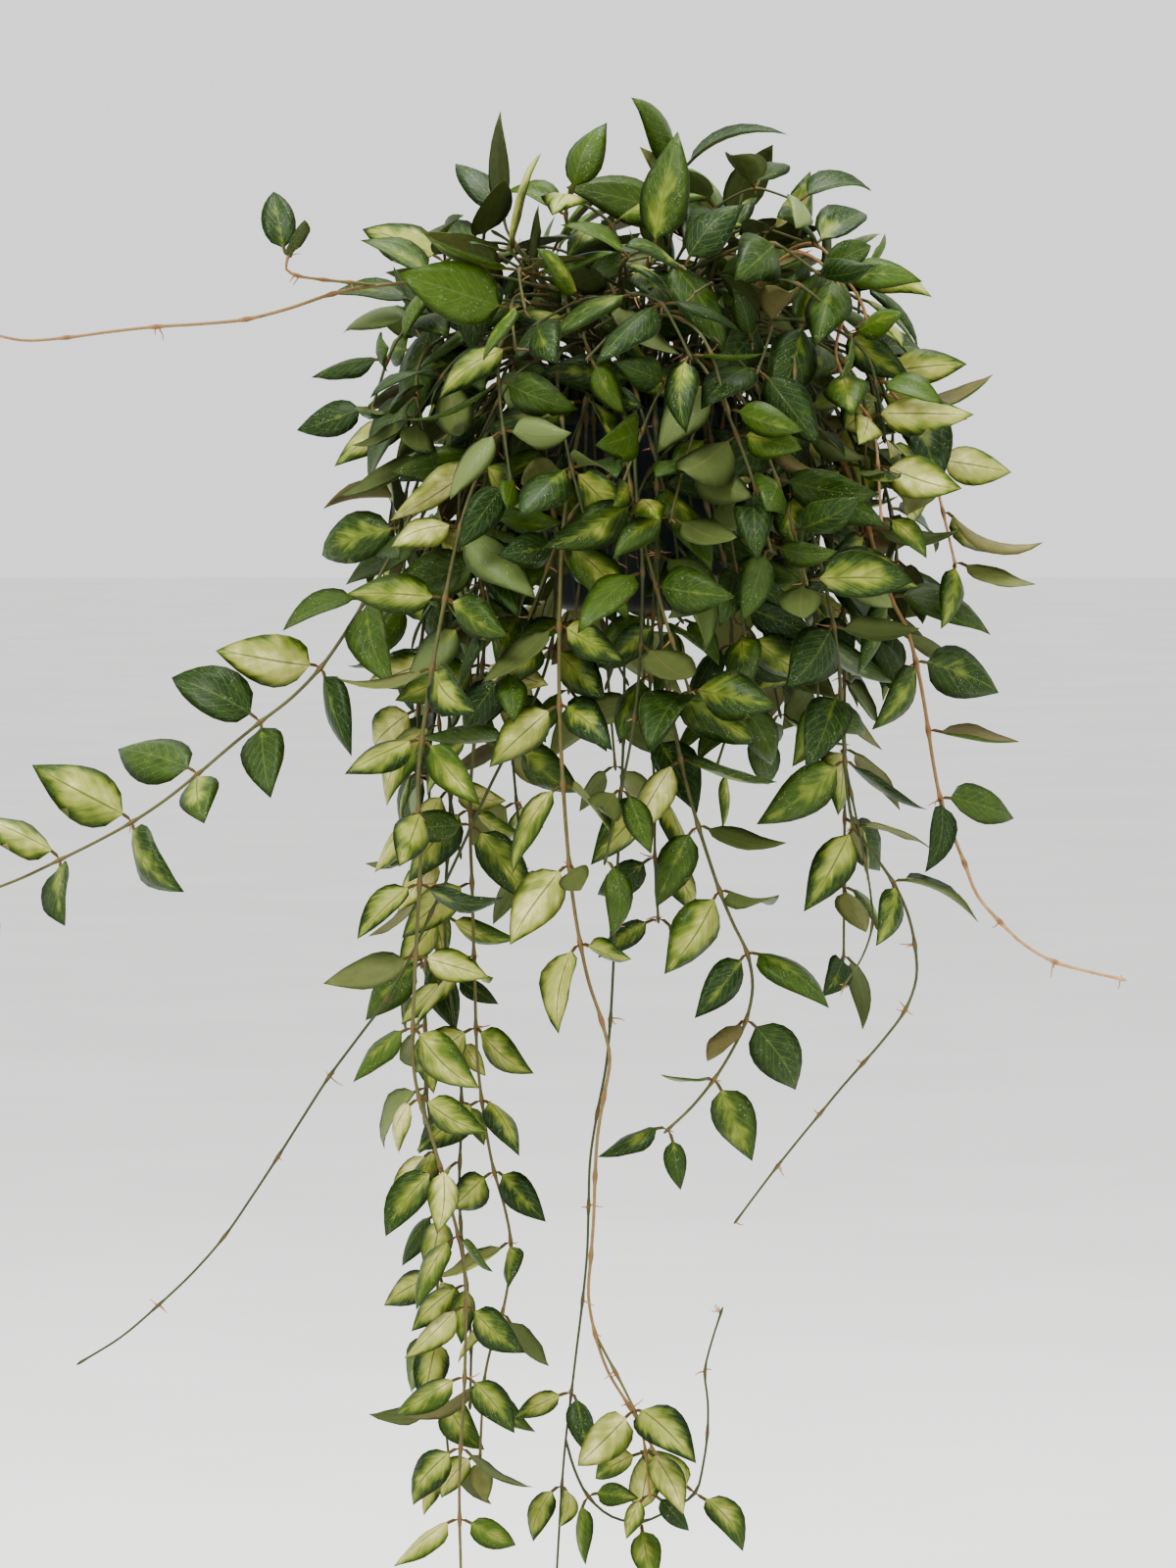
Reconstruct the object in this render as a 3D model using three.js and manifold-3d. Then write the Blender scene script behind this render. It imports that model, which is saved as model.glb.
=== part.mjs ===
// A variegated hoya lacunosa in a hanging growing pot. Millimetres, +Z up.
// The origin is on the pot's axis in the plane of its rim, where a hanger takes hold.
// -Y is the front. Vines hang free all round the pot.
import * as THREE from 'three';
import Module from 'manifold-3d';

const wasm = await Module();
wasm.setup();

// Pot
const POT_RIM_RADIUS = 65;
const POT_BASE_RADIUS = 47;
const POT_HEIGHT = 115;
const POT_WALL = 1.8;
const POT_FLOOR = 2.4;
const POT_FLUTES = 18;
const FLUTE_DEPTH = 1.1;
const RIM_HEIGHT = 12;
const RIM_PROUD = 2.4;
const FOOT_HEIGHT = 5;
const DRAIN_HOLES = 4;
const DRAIN_RADIUS = 3.6;
const DRAIN_CIRCLE = 30;

// Lugs for the hanger
const LUG_ANGLES = [90, 210, 330];
const LUG_REACH = 74;
const LUG_ROOT = 65.4;
const LUG_WIDTH = 11;
const LUG_THICKNESS = 3;
const LUG_TOP = -1;
const EYELET_RADIUS = 1.7;
const EYELET_AT = 70.2;

// Growing medium
const MEDIUM_TOP = -14;
const MEDIUM_CROWN = 4;
const SEAT_GAP = 0.3;
const STEM_DEPTH = 16;

// Mound of crown shoots: half-widths of the shell that their stems end on
const MOUND_WIDE = 152;
const MOUND_DEEP = 138;
const MOUND_HIGH = 112;
const SKIRT_DROP = 118;
const SKIRT_FROM = 90;
const SKIRT_TO = 128;
const GOLDEN_TURN = 137.50776405;
const CROWN_SHOOTS = 22;

// Stems and leaves
const STEM_SIDES = 3;
const NODE_SWELL = 1.3;
const NODE_HALF = 2.1;
const BUD_LENGTH = 3;
const STEM_FROM_RIM = 9;
const STEM_FREE = 12;
const STRAIGHT = 0.86;
const PETIOLE = 4.5;
const PETIOLE_OFF = 3.2;
const PETIOLE_CLEAR = 3;
const BLADE_THICK = 1.3;
const EDGE_OUT = 1.07;
const EDGE_SINK = 0.4;
const FIRST_SECTION = 0.26;
const SECOND_SECTION = 0.64;
const FACE_CLEAR = 2;
const FACE_LEAN = 0.15;
const CLEARANCE = 0.3;
const LEAF_TRIES = 26;
const MISSING = 0.135;
const NUDGE_STEP = 4;
const NUDGES = 25;

// How leaves vary: a low and a high value each
const LEAF_SPIN = [-0.3, 0.65];
const LEAF_FORWARD = [0.05, 0.3];
const TIP_FORWARD = [0.2, 0.4];
const LEVEL_WEIGHT = [-0.5, 0.4];
const HANGING_WEIGHT = [0.35, 1.5];
const FULLY_HANGING = 0.75;
const LEAF_LIFT = [0.05, 0.7];
const LEAF_ROLL = [-0.6, 0.6];
const LENGTH_SPREAD = [0.86, 1.14];
const SLENDER = [1.65, 2.2];
const DROOP = [0.35, 1.25];
const CUP = [0.4, 0.9];
const TURNED_OVER = 0.07;
const TURN_OVER = 2.4;
const UPRIGHT_FORWARD = 1.2;
const UPRIGHT_WEIGHT = 0.2;
const TIP_LEAF = 0.84;

// Seeds of the draws
const CROWN_SEED = 4501;
const SKIRT_SEED = 2207;
const LEAF_SEED = 9178;
const TAU = Math.PI * 2;

// Vectors
const add = (a, b) => [a[0] + b[0], a[1] + b[1], a[2] + b[2]];
const sub = (a, b) => [a[0] - b[0], a[1] - b[1], a[2] - b[2]];
const mul = (a, k) => [a[0] * k, a[1] * k, a[2] * k];
const dot = (a, b) => a[0] * b[0] + a[1] * b[1] + a[2] * b[2];
const size = (a) => Math.sqrt(dot(a, a));
const unit = (a) => mul(a, 1 / size(a));
const mix = (a, b, k) => add(mul(a, 1 - k), mul(b, k));
const sum = (...parts) => parts.reduce(add);
const cross = (a, b) => [
  a[1] * b[2] - a[2] * b[1],
  a[2] * b[0] - a[0] * b[2],
  a[0] * b[1] - a[1] * b[0],
];
const polar = (radius, degrees, z) => {
  const turn = degrees * Math.PI / 180;
  return [radius * Math.cos(turn), radius * Math.sin(turn), z];
};

// Seeded draws: the same seed always grows the same plant
function makeDraws(seed) {
  let state = seed;
  return (low, high) => {
    state = (state * 1664525 + 1013904223) % 4294967296;
    return low + (high - low) * (state / 4294967296);
  };
}

// Named vines. Each route runs from the rim outwards; x is left to right in the picture.
// girth: stem radius at the foot and the tip; gap: distance between nodes; leafy: from and to
// which share of the stem leaves grow; leaf: blade length at the foot and at the tip; light: share
// of yellow.
const NAMED_VINES = [
  {
    name: 'left_bare_whip', rim: 172, root: 40, girth: [1.9, 1.3], gap: 52, leafy: [0.95, 1], leaf: [44, 36],
    light: 0.35,
    route: [[-100, -14, 62], [-129, -18, 69], [-168, -20, 65], [-220, -24, 49.5], [-283, -26, 44],
      [-344, -30, 37], [-374, -32, 43]],
    branches: [{ from: 0.46, route: [[-196, -30, 74], [-199, -34, 84]], girth: [1.4, 1.1], gap: 16,
      leafy: [0.9, 1] }],
  },
  {
    name: 'left_spreading_vine', rim: 196, root: 46, girth: [2.0, 1.3], gap: 46, leafy: [0.3, 1],
    leaf: [58, 54], light: 0.5,
    route: [[-112, -42, -30], [-150, -52, -100], [-184, -58, -151], [-223, -62, -184], [-278, -66, -228],
      [-341, -68, -261], [-368, -70, -272]],
    branches: [],
  },
  {
    name: 'left_column_vine', rim: 224, root: 47, girth: [2.1, 1.3], gap: 40, leafy: [0.14, 1], leaf: [60, 37],
    light: 0.75,
    route: [[-92, -94, -40], [-112, -110, -120], [-124, -116, -201], [-123, -118, -250], [-126.5, -118, -322],
      [-126.5, -116, -371], [-115.5, -114, -410], [-107, -112, -443], [-99, -110, -481], [-99, -108, -542],
      [-102, -106, -597], [-101, -105, -660]],
    branches: [],
  },
  {
    name: 'long_thin_whip', rim: 236, root: 30, girth: [1.8, 1.0], gap: 54, leafy: [0.12, 0.5], leaf: [52, 42],
    light: 0.4,
    route: [[-48, -78, -60], [-52, -82, -140], [-85, -82, -212], [-118, -78, -283], [-140, -74, -327],
      [-170.5, -70, -368.5], [-186, -68, -392], [-218, -66, -442], [-246, -64, -480], [-290, -62, -521],
      [-316, -60, -538]],
    branches: [],
  },
  {
    name: 'vine_beside_column', rim: 210, root: 40, girth: [1.9, 1.2], gap: 41, leafy: [0.3, 1], leaf: [56, 38],
    light: 0.85,
    route: [[-92, -56, -60], [-88, -62, -124], [-96, -64, -212], [-95, -66, -278], [-93.5, -66, -333],
      [-92, -66, -371], [-85, -66, -421], [-74, -66, -465], [-77, -66, -503], [-88, -66, -542],
      [-91, -66, -590]],
    branches: [],
  },
  {
    name: 'centre_tan_vine', rim: 248, root: 47, girth: [2.1, 1.3], gap: 44, leafy: [0.12, 0.62], leaf: [62, 32],
    light: 0.7,
    route: [[-42, -104, -50], [-46, -118, -120], [-45, -124, -190], [-38.5, -126, -272], [-27.5, -126, -327],
      [-18, -125, -355], [-25, -124, -404], [-27.5, -124, -459], [-30, -124, -492], [-22, -124, -528],
      [-8, -124, -553], [14, -124, -592]],
    branches: [{
      from: 0.88, gap: 24, leafy: [0.3, 1], girth: [1.3, 1.0], route: [[-2, -132, -562], [4, -134, -602]],
    }],
  },
  {
    name: 'thin_dark_vine', rim: 259, root: 34, girth: [1.6, 1.0], gap: 52, leafy: [0.84, 1], leaf: [40, 36],
    light: 0.9,
    route: [[-16, -88, -60], [-10, -92, -150], [-14, -92, -260], [-19, -92, -357.5], [-28.6, -92, -415],
      [-31, -92, -476], [-38.5, -92, -542], [-44, -92, -591], [-48, -92, -656]],
    branches: [{
      from: 0.88, gap: 36, leafy: [0.1, 0.62], girth: [1.3, 0.9],
      route: [[-32, -98, -606], [-8, -102, -622.6], [19, -104, -613], [31, -104, -602], [37, -104, -564],
        [35, -104, -536], [44, -104, -504]],
    }],
  },
  {
    name: 'centre_vine', rim: 275, root: 47, girth: [2.2, 1.3], gap: 38, leafy: [0.1, 1], leaf: [64, 42],
    light: 0.5,
    route: [[8, -98, -40], [9, -112, -110], [14, -116, -157], [25, -118, -212], [44, -116, -272],
      [60, -112, -310], [57, -110, -342], [36, -108, -379], [14, -106, -402]],
    branches: [{
      from: 0.3, gap: 34, leafy: [0.2, 1], girth: [1.6, 1.1],
      route: [[4, -98, -168], [7, -88, -210], [7, -84, -250], [9, -82, -286]],
    }],
  },
  {
    name: 'lower_right_vine', rim: 318, root: 47, girth: [2.1, 1.0], gap: 38, leafy: [0.16, 0.66],
    leaf: [58, 44], light: 0.55,
    route: [[84, -84, -40], [106, -92, -120], [113, -94, -201], [118, -94, -234], [137.5, -92, -261],
      [151, -90, -294], [148.5, -90, -333], [107, -90, -385], [77, -90, -422], [53, -90, -454]],
    branches: [{ from: 0.5, route: [[128, -98, -285], [112, -100, -322]], girth: [1.2, 0.9], gap: 36,
      leafy: [1.1, 1.2] }],
  },
  {
    name: 'right_peach_vine', rim: 340, root: 47, girth: [2.1, 1.4], gap: 40, leafy: [0.2, 0.74],
    leaf: [60, 44], light: 0.5,
    route: [[112, -44, -30], [137.5, -50, -102], [148.5, -52, -124], [157, -52, -157], [165, -50, -206],
      [170.5, -48, -228], [181.5, -48, -256], [187.5, -48, -273], [212, -46, -300], [234, -44, -313.5],
      [271, -42, -323]],
    branches: [],
  },
  {
    name: 'right_edge_stem_front', rim: 332, root: 26, girth: [1.9, 1.2], gap: 28, leafy: [0.42, 1],
    leaf: [56, 52], light: 0.7,
    route: [[80, -50, 84], [112, -62, 63], [108, -68, 30], [118, -74, 5], [129, -80, -14], [133, -84, -62]],
    branches: [],
  },
  {
    name: 'right_edge_stem_outer', rim: 352, root: 28, girth: [1.9, 1.2], gap: 29, leafy: [0.36, 1],
    leaf: [58, 52], light: 0.75,
    route: [[86, -16, 90], [118, -30, 68], [130, -42, 36], [137, -46, 11], [156, -48, -8], [165, -48, -42],
      [176, -46, -88]],
    branches: [],
  },
  {
    name: 'top_shoot', rim: 300, root: 8, girth: [2.0, 1.4], gap: 26, leafy: [0.4, 1], leaf: [60, 56],
    light: 0.2,
    route: [[9, -8, 40], [14, -12, 82], [20, -14, 112], [21, -14, 134]],
    branches: [{ from: 0.6, route: [[34, -24, 104], [62, -36, 122], [88, -44, 114]], girth: [1.5, 1.1],
      gap: 26, leafy: [0.3, 1] }],
  },
  {
    name: 'green_shoot', rim: 262, root: 20, girth: [2.1, 1.4], gap: 28, leafy: [0.36, 1], leaf: [62, 58],
    light: 0.3,
    route: [[2, -30, 24], [0, -36, 47], [-10, -44, 80], [-19, -48, 104], [-40, -56, 116]],
    branches: [],
  },
  {
    name: 'upright_striped_shoot', rim: 205, root: 22, girth: [2.0, 1.4], gap: 28, leafy: [0.36, 1],
    leaf: [64, 80], light: 0.6,
    route: [[-38, -20, 36], [-58, -30, 66], [-74, -38, 88]],
    branches: [],
  },
];

// Short vines that hang evenly round the pot between the named ones
const SKIRT_VINES = 9;
const SKIRT_START = 14;
const SKIRT_OUT = [104, 132];
const SKIRT_LENGTHS = [150, 320];

// Smooth route through points, then walked in equal steps
function splinePoint(points, span, k) {
  const last = points.length - 1;
  const p1 = points[span];
  const p2 = points[span + 1];
  const p0 = span > 0 ? points[span - 1] : sub(mul(p1, 2), p2);
  const p3 = span + 2 <= last ? points[span + 2] : sub(mul(p2, 2), p1);
  const k2 = k * k;
  const k3 = k2 * k;
  return sum(
    mul(p0, -0.5 * k3 + k2 - 0.5 * k),
    mul(p1, 1.5 * k3 - 2.5 * k2 + 1),
    mul(p2, -1.5 * k3 + 2 * k2 + 0.5 * k),
    mul(p3, 0.5 * k3 - 0.5 * k2),
  );
}

function walkRoute(points, step) {
  const fine = [points[0]];
  for (let span = 0; span < points.length - 1; span += 1) {
    for (let i = 1; i <= 12; i += 1) {
      fine.push(splinePoint(points, span, i / 12));
    }
  }
  let length = 0;
  for (let i = 1; i < fine.length; i += 1) {
    length += size(sub(fine[i], fine[i - 1]));
  }
  const count = Math.max(2, Math.round(length / step));
  const stride = length / count;
  const walked = [points[0]];
  let gone = 0;
  for (let i = 1; i < fine.length; i += 1) {
    const piece = size(sub(fine[i], fine[i - 1]));
    while (walked.length < count && gone + piece >= stride * walked.length) {
      walked.push(mix(fine[i - 1], fine[i], (stride * walked.length - gone) / piece));
    }
    gone += piece;
  }
  walked.push(fine[fine.length - 1]);
  return walked;
}

// Shell of the mound at a polar angle down from the top and a turn round the pot
function moundPoint(fall, turn, scale) {
  const rounded = Math.min(fall, SKIRT_FROM) * Math.PI / 180;
  const out = Math.pow(Math.sin(rounded), 0.75) * scale;
  const around = turn * Math.PI / 180;
  const below = Math.max(0, fall - SKIRT_FROM) / (SKIRT_TO - SKIRT_FROM);
  const high = Math.pow(Math.max(0, Math.cos(rounded)), 0.75) * scale;
  const z = fall < SKIRT_FROM ? MOUND_HIGH * high : -SKIRT_DROP * below * scale;
  return [MOUND_WIDE * out * Math.cos(around), MOUND_DEEP * out * Math.sin(around), z];
}

// Crown shoots spread over the mound by the golden turn, each with one side branch
function crownVines() {
  const draw = makeDraws(CROWN_SEED);
  const vines = [];
  const lowest = 1 - Math.cos(SKIRT_TO * Math.PI / 180);
  for (let i = 0; i < CROWN_SHOOTS; i += 1) {
    const share = (i + 0.7) / CROWN_SHOOTS;
    const fall = Math.acos(1 - lowest * share) * 180 / Math.PI;
    const turn = (i * GOLDEN_TURN + 20) % 360;
    const swing = 13 / Math.max(0.45, Math.sin(fall * Math.PI / 180));
    const root = 9 + 36 * Math.sqrt(share) + draw(-2, 2);
    const lift = fall > 70 ? 0.5 : 0.62;
    vines.push({
      name: `crown_shoot_${String(i + 1).padStart(2, '0')}`,
      rim: turn,
      root,
      girth: [2.0, 1.3],
      gap: draw(28, 33),
      leafy: [0.4, 1],
      leaf: [64, 54],
      light: draw(0, 1),
      route: [
        moundPoint(fall * 0.62, turn, lift),
        moundPoint(fall * 0.84, turn + swing * 0.3, 0.82),
        moundPoint(fall + 2, turn + swing * 0.8, draw(0.93, 1.0)),
        moundPoint(fall + 17, turn + swing * 1.2, draw(0.95, 1.03)),
      ],
      branches: [{
        from: 0.46,
        gap: draw(28, 33),
        leafy: [0.2, 1],
        girth: [1.6, 1.2],
        route: [
          moundPoint(fall * 0.9, turn - swing * 0.7, 0.84),
          moundPoint(fall + 6, turn - swing * 1.3, draw(0.9, 0.98)),
        ],
      }],
    });
  }
  return vines;
}

function skirtVines() {
  const draw = makeDraws(SKIRT_SEED);
  const vines = [];
  for (let i = 0; i < SKIRT_VINES; i += 1) {
    const turn = SKIRT_START + 360 * i / SKIRT_VINES + draw(-5, 5);
    const out = draw(SKIRT_OUT[0], SKIRT_OUT[1]);
    const length = draw(SKIRT_LENGTHS[0], SKIRT_LENGTHS[1]);
    vines.push({
      name: `short_vine_${String(i + 1).padStart(2, '0')}`,
      rim: turn,
      root: 39,
      girth: [2.0, 1.2],
      gap: draw(37, 42),
      leafy: [0.16, 1],
      leaf: [62, 46],
      light: draw(0.25, 0.9),
      route: [
        polar(out * 0.86, turn, -34),
        polar(out, turn + 2, -90),
        polar(out + 3, turn + draw(-5, 5), -90 - (length - 90) * 0.5),
        polar(out + draw(-6, 6), turn + draw(-7, 7), -length),
      ],
      branches: [],
    });
  }
  return vines;
}

// Stem axes of a vine: points along the stem, the foot first. Every second point, counted back
// from the tip, is a node; rings there swell, and leaves grow from them.
function growAxes(vine) {
  const foot = polar(vine.root, vine.rim, MEDIUM_TOP - STEM_DEPTH);
  const collar = polar(vine.root, vine.rim, MEDIUM_TOP + MEDIUM_CROWN + 1);
  const rise = polar(vine.root + 3, vine.rim, STEM_FROM_RIM);
  const start = [collar, rise];
  if (vine.route[0][2] < 0) {
    start.push(polar(POT_RIM_RADIUS + 6, vine.rim, STEM_FROM_RIM + 9));
  }
  const walked = walkRoute([...start, ...vine.route], vine.gap / 2);
  const hidden = !NAMED_VINES.includes(vine);
  const trunk = {
    points: [foot, ...walked],
    girth: vine.girth,
    leafy: vine.leafy,
    forks: [],
    ground: true,
    hidden,
  };
  const axes = [trunk];
  for (const branch of vine.branches) {
    const at = Math.round(branch.from * (trunk.points.length - 1));
    trunk.forks.push(at);
    axes.push({
      points: walkRoute([trunk.points[at], ...branch.route], branch.gap / 2),
      girth: branch.girth,
      leafy: branch.leafy,
      forks: [],
      ground: false,
      hidden,
    });
  }
  return axes;
}

function isNode(axis, i) {
  const back = axis.points.length - 1 - i;
  return back % 2 === 0 && i > (axis.ground ? 2 : 0);
}

function isLeafy(axis, i) {
  const share = i / (axis.points.length - 1);
  return isNode(axis, i) && share >= axis.leafy[0] && share <= axis.leafy[1];
}

function stemRadius(axis, i) {
  const share = i / (axis.points.length - 1);
  const plain = axis.girth[0] + (axis.girth[1] - axis.girth[0]) * share;
  return isNode(axis, i) ? plain * NODE_SWELL : plain;
}

function tangentAt(axis, i) {
  if (axis.ground && i < 2) {
    return [0, 0, 1];
  }
  const points = axis.points;
  return unit(sub(points[Math.min(i + 1, points.length - 1)], points[Math.max(i - 1, 0)]));
}

// Leaves turn their faces outwards, upwards and, but for the back ones, to the light in front
function facing(p) {
  const r = Math.sqrt(p[0] * p[0] + p[1] * p[1]) + 1;
  const ahead = 0.5 * (1 - Math.max(0, p[1] / r));
  const high = Math.max(0, Math.min(1, p[2] / 130));
  return unit([0.75 * p[0] / r, 0.9 * p[1] / r - ahead, 0.15 + 0.9 * high]);
}

// Directions across a stem: flat to its two leaves, lift to the side that faces out
function acrossStem(axis, i) {
  const way = tangentAt(axis, i);
  const flat = unit(cross(way, facing(axis.points[i])));
  return { way, flat, lift: cross(flat, way) };
}

// Blade outline: half width at a share of the length, drawn out to a point
const OUTLINE_BASE = 0.62;
const OUTLINE_TIP = 1.15;
const OUTLINE_PEAK = OUTLINE_BASE / (OUTLINE_BASE + OUTLINE_TIP);
const outlineRaw = (t) => Math.pow(t, OUTLINE_BASE) * Math.pow(1 - t, OUTLINE_TIP);
const outline = (t) => outlineRaw(t) / outlineRaw(OUTLINE_PEAK);

// Point of a blade at t along it and s across it, a depth below its upper face
function bladePoint(leaf, t, s, depth) {
  const bend = leaf.droop * t;
  const along = leaf.length * Math.sin(bend) / leaf.droop;
  const fall = leaf.length * (1 - Math.cos(bend)) / leaf.droop;
  const half = leaf.width / 2 * (t > 0 && t < 1 ? outline(t) : 0);
  const curl = leaf.cup * s;
  const across = half * Math.sin(curl) / leaf.cup;
  const sink = half * (1 - Math.cos(curl)) / leaf.cup + depth;
  const face = add(mul(leaf.up, Math.cos(bend)), mul(leaf.out, Math.sin(bend)));
  return sum(leaf.base, mul(leaf.out, along), mul(leaf.up, -fall), mul(leaf.side, across), mul(face, -sink));
}

// Boxes stand for stems and leaves while the plant grows, so that nothing crosses
function boxRound(points, lengthways, crossways, clear) {
  const x = unit(lengthways);
  const z = unit(cross(x, crossways));
  const y = cross(z, x);
  const axes = [x, y, z];
  const low = axes.map((a) => Math.min(...points.map((p) => dot(p, a))) - clear);
  const high = axes.map((a) => Math.max(...points.map((p) => dot(p, a))) + clear);
  const middle = axes.map((a, i) => (low[i] + high[i]) / 2);
  const half = axes.map((a, i) => (high[i] - low[i]) / 2);
  const centre = sum(mul(x, middle[0]), mul(y, middle[1]), mul(z, middle[2]));
  return { axes, centre, half, reach: size(half) };
}

function boxesMeet(a, b) {
  const apart = sub(b.centre, a.centre);
  if (size(apart) > a.reach + b.reach) {
    return false;
  }
  const ways = [...a.axes, ...b.axes];
  for (const p of a.axes) {
    for (const q of b.axes) {
      const c = cross(p, q);
      const long = size(c);
      if (long > 0.000001) {
        ways.push(mul(c, 1 / long));
      }
    }
  }
  for (const way of ways) {
    let reach = 0;
    for (let i = 0; i < 3; i += 1) {
      reach += a.half[i] * Math.abs(dot(a.axes[i], way)) + b.half[i] * Math.abs(dot(b.axes[i], way));
    }
    if (Math.abs(dot(apart, way)) > reach) {
      return false;
    }
  }
  return true;
}

function stemBoxes(axis) {
  const boxes = [];
  for (let i = 0; i + 1 < axis.points.length; i += 1) {
    const a = axis.points[i];
    const b = axis.points[i + 1];
    const radius = Math.max(stemRadius(axis, i), stemRadius(axis, i + 1));
    const way = unit(sub(b, a));
    const aside = Math.abs(way[2]) > 0.9 ? [1, 0, 0] : [0, 0, 1];
    boxes.push(boxRound([a, b], way, aside, radius));
  }
  return boxes;
}

function leafBoxes(leaf) {
  const boxes = [];
  const spans = [[0, 0.15, 0.3], [0.3, 0.45, 0.62], [0.62, 0.8, 1]];
  const stalk = boxRound([leaf.node, leaf.base], leaf.out, leaf.side, PETIOLE_CLEAR);
  boxes.push(stalk);
  for (const span of spans) {
    const points = [];
    for (const t of span) {
      for (const s of [-1, 0, 1]) {
        points.push(bladePoint(leaf, t, s, 0), bladePoint(leaf, t, s, BLADE_THICK));
      }
    }
    const way = sub(bladePoint(leaf, span[2], 0, 0), bladePoint(leaf, span[0], 0, 0));
    boxes.push(boxRound(points, way, leaf.side, CLEARANCE));
  }
  return boxes;
}

// The pot with its rim and lugs, as a barrel that leaves keep out of
function insidePot(p) {
  if (p[2] > 4 || p[2] < -POT_HEIGHT - 3) {
    return false;
  }
  const share = Math.min(1, Math.max(0, -p[2] / POT_HEIGHT));
  const wall = POT_RIM_RADIUS + (POT_BASE_RADIUS - POT_RIM_RADIUS) * share;
  const reach = p[2] > -RIM_HEIGHT - 6 ? LUG_REACH + 1 : wall + 4;
  return Math.sqrt(p[0] * p[0] + p[1] * p[1]) < reach;
}

const keepsOffPot = (leaf) => {
  for (const t of [0, 0.25, 0.5, 0.75, 1]) {
    for (const s of [-1, 0, 1]) {
      if (insidePot(bladePoint(leaf, t, s, 0))) {
        return false;
      }
    }
  }
  return true;
};

// A leaf leaves the stem face that it stands on without leaning back over the stem
const standsClear = (leaf) => {
  const { way, flat, lift } = acrossStem(leaf.axis, leaf.i);
  const faceWay = add(mul(lift, Math.cos(TAU / 6)), mul(flat, leaf.hand * Math.sin(TAU / 6)));
  return [EDGE_OUT, -EDGE_OUT].every((s) => {
    const corner = sub(bladePoint(leaf, FIRST_SECTION, s, EDGE_SINK), leaf.node);
    return dot(corner, faceWay) > FACE_CLEAR + FACE_LEAN * Math.abs(dot(corner, way));
  });
};

// One leaf at a node: hand is 1 or -1 for the two sides of the stem. Later tries turn further
// and are shorter, until the leaf clears what already grows there.
function shapeLeaf(vine, axis, i, hand, attempt, draw) {
  const node = axis.points[i];
  const { way, flat, lift } = acrossStem(axis, i);
  const loose = 1 + attempt * 0.12;
  const spin = Math.max(-0.35, Math.min(0.95, draw(...LEAF_SPIN) * loose));
  const pair = add(mul(flat, hand * Math.cos(spin)), mul(lift, Math.sin(spin)));
  const tip = i === axis.points.length - 1;
  const upright = way[2] > 0.6;
  const ahead = (tip ? draw(...TIP_FORWARD) : 0) + (tip && upright ? UPRIGHT_FORWARD : 0);
  const forward = draw(...LEAF_FORWARD) + ahead;
  const hang = Math.max(0, Math.min(1, -way[2] / FULLY_HANGING));
  const low = LEVEL_WEIGHT[0] + (HANGING_WEIGHT[0] - LEVEL_WEIGHT[0]) * hang;
  const high = LEVEL_WEIGHT[1] + (HANGING_WEIGHT[1] - LEVEL_WEIGHT[1]) * hang;
  const weight = draw(low, high) * (upright ? UPRIGHT_WEIGHT : 1);
  const out = unit(sum(
    pair,
    mul(way, forward),
    mul(lift, draw(...LEAF_LIFT) * loose),
    [0, 0, -weight],
  ));
  const turned = draw(0, 1) < TURNED_OVER ? TURN_OVER : 0;
  const roll = draw(...LEAF_ROLL) * loose + turned * hand;
  const sky = add(facing(node), [0, 0, 0.4]);
  const level = unit(cross(sky, out));
  const over = cross(out, level);
  const up = add(mul(over, Math.cos(roll)), mul(level, Math.sin(roll)));
  const shrink = Math.max(0.62, 1 - attempt * 0.018) * (tip && !upright ? TIP_LEAF : 1);
  const share = i / (axis.points.length - 1);
  const plain = vine.leaf[0] + (vine.leaf[1] - vine.leaf[0]) * share;
  const length = plain * draw(...LENGTH_SPREAD) * shrink;
  return {
    node,
    base: sum(node, mul(pair, PETIOLE_OFF), mul(out, PETIOLE)),
    out,
    side: cross(up, out),
    up,
    length,
    width: length / draw(...SLENDER),
    droop: draw(...DROOP),
    cup: draw(...CUP),
    axis,
    i,
    hand,
  };
}

const BLADE = 2;
const STALK = 1;
const STEM = 0;

function crosses(vine, leaf, boxes, other) {
  const own = other.vine === vine;
  return boxes.some((box, k) => {
    if (own && k === 0) {
      return false;
    }
    if (own && other.kind === STEM && k < 2 && size(sub(other.box.centre, leaf.node)) < STEM_FREE) {
      return false;
    }
    if (own && other.kind === STALK && other.node === leaf.node) {
      return false;
    }
    return boxesMeet(box, other.box);
  });
}

// The whole plant: stems first, then leaves from the tips inwards
function growPlant() {
  const vines = [...NAMED_VINES, ...skirtVines(), ...crownVines()];
  const draw = makeDraws(LEAF_SEED);
  const taken = [];
  for (const vine of vines) {
    growStems(vine, taken);
  }
  for (const vine of vines) {
    for (const axis of vine.axes) {
      for (let i = axis.points.length - 1; i > 0; i -= 1) {
        if (!isLeafy(axis, i)) {
          continue;
        }
        for (const hand of [1, -1]) {
          growLeaf(vine, axis, i, hand, draw, taken);
        }
      }
    }
  }
  return vines;
}

// A stem turns round the pot, a little at a time, until it clears those before it
function growStems(vine, taken) {
  const axes = growAxes(vine);
  vine.leaves = [];
  for (let i = 0; i < NUDGES; i += 1) {
    const nudge = Math.ceil(i / 2) * NUDGE_STEP * (i % 2 === 0 ? -1 : 1);
    vine.axes = axes.map((axis) => ({ ...axis, points: axis.points.map((p) => turnRound(p, nudge)) }));
    const boxes = vine.axes.flatMap(stemBoxes);
    if (!boxes.some((box) => taken.some((other) => boxesMeet(box, other.box)))) {
      break;
    }
  }
  vine.axes.flatMap(stemBoxes).forEach((box) => taken.push({ vine, box, kind: STEM, node: null }));
}

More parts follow.
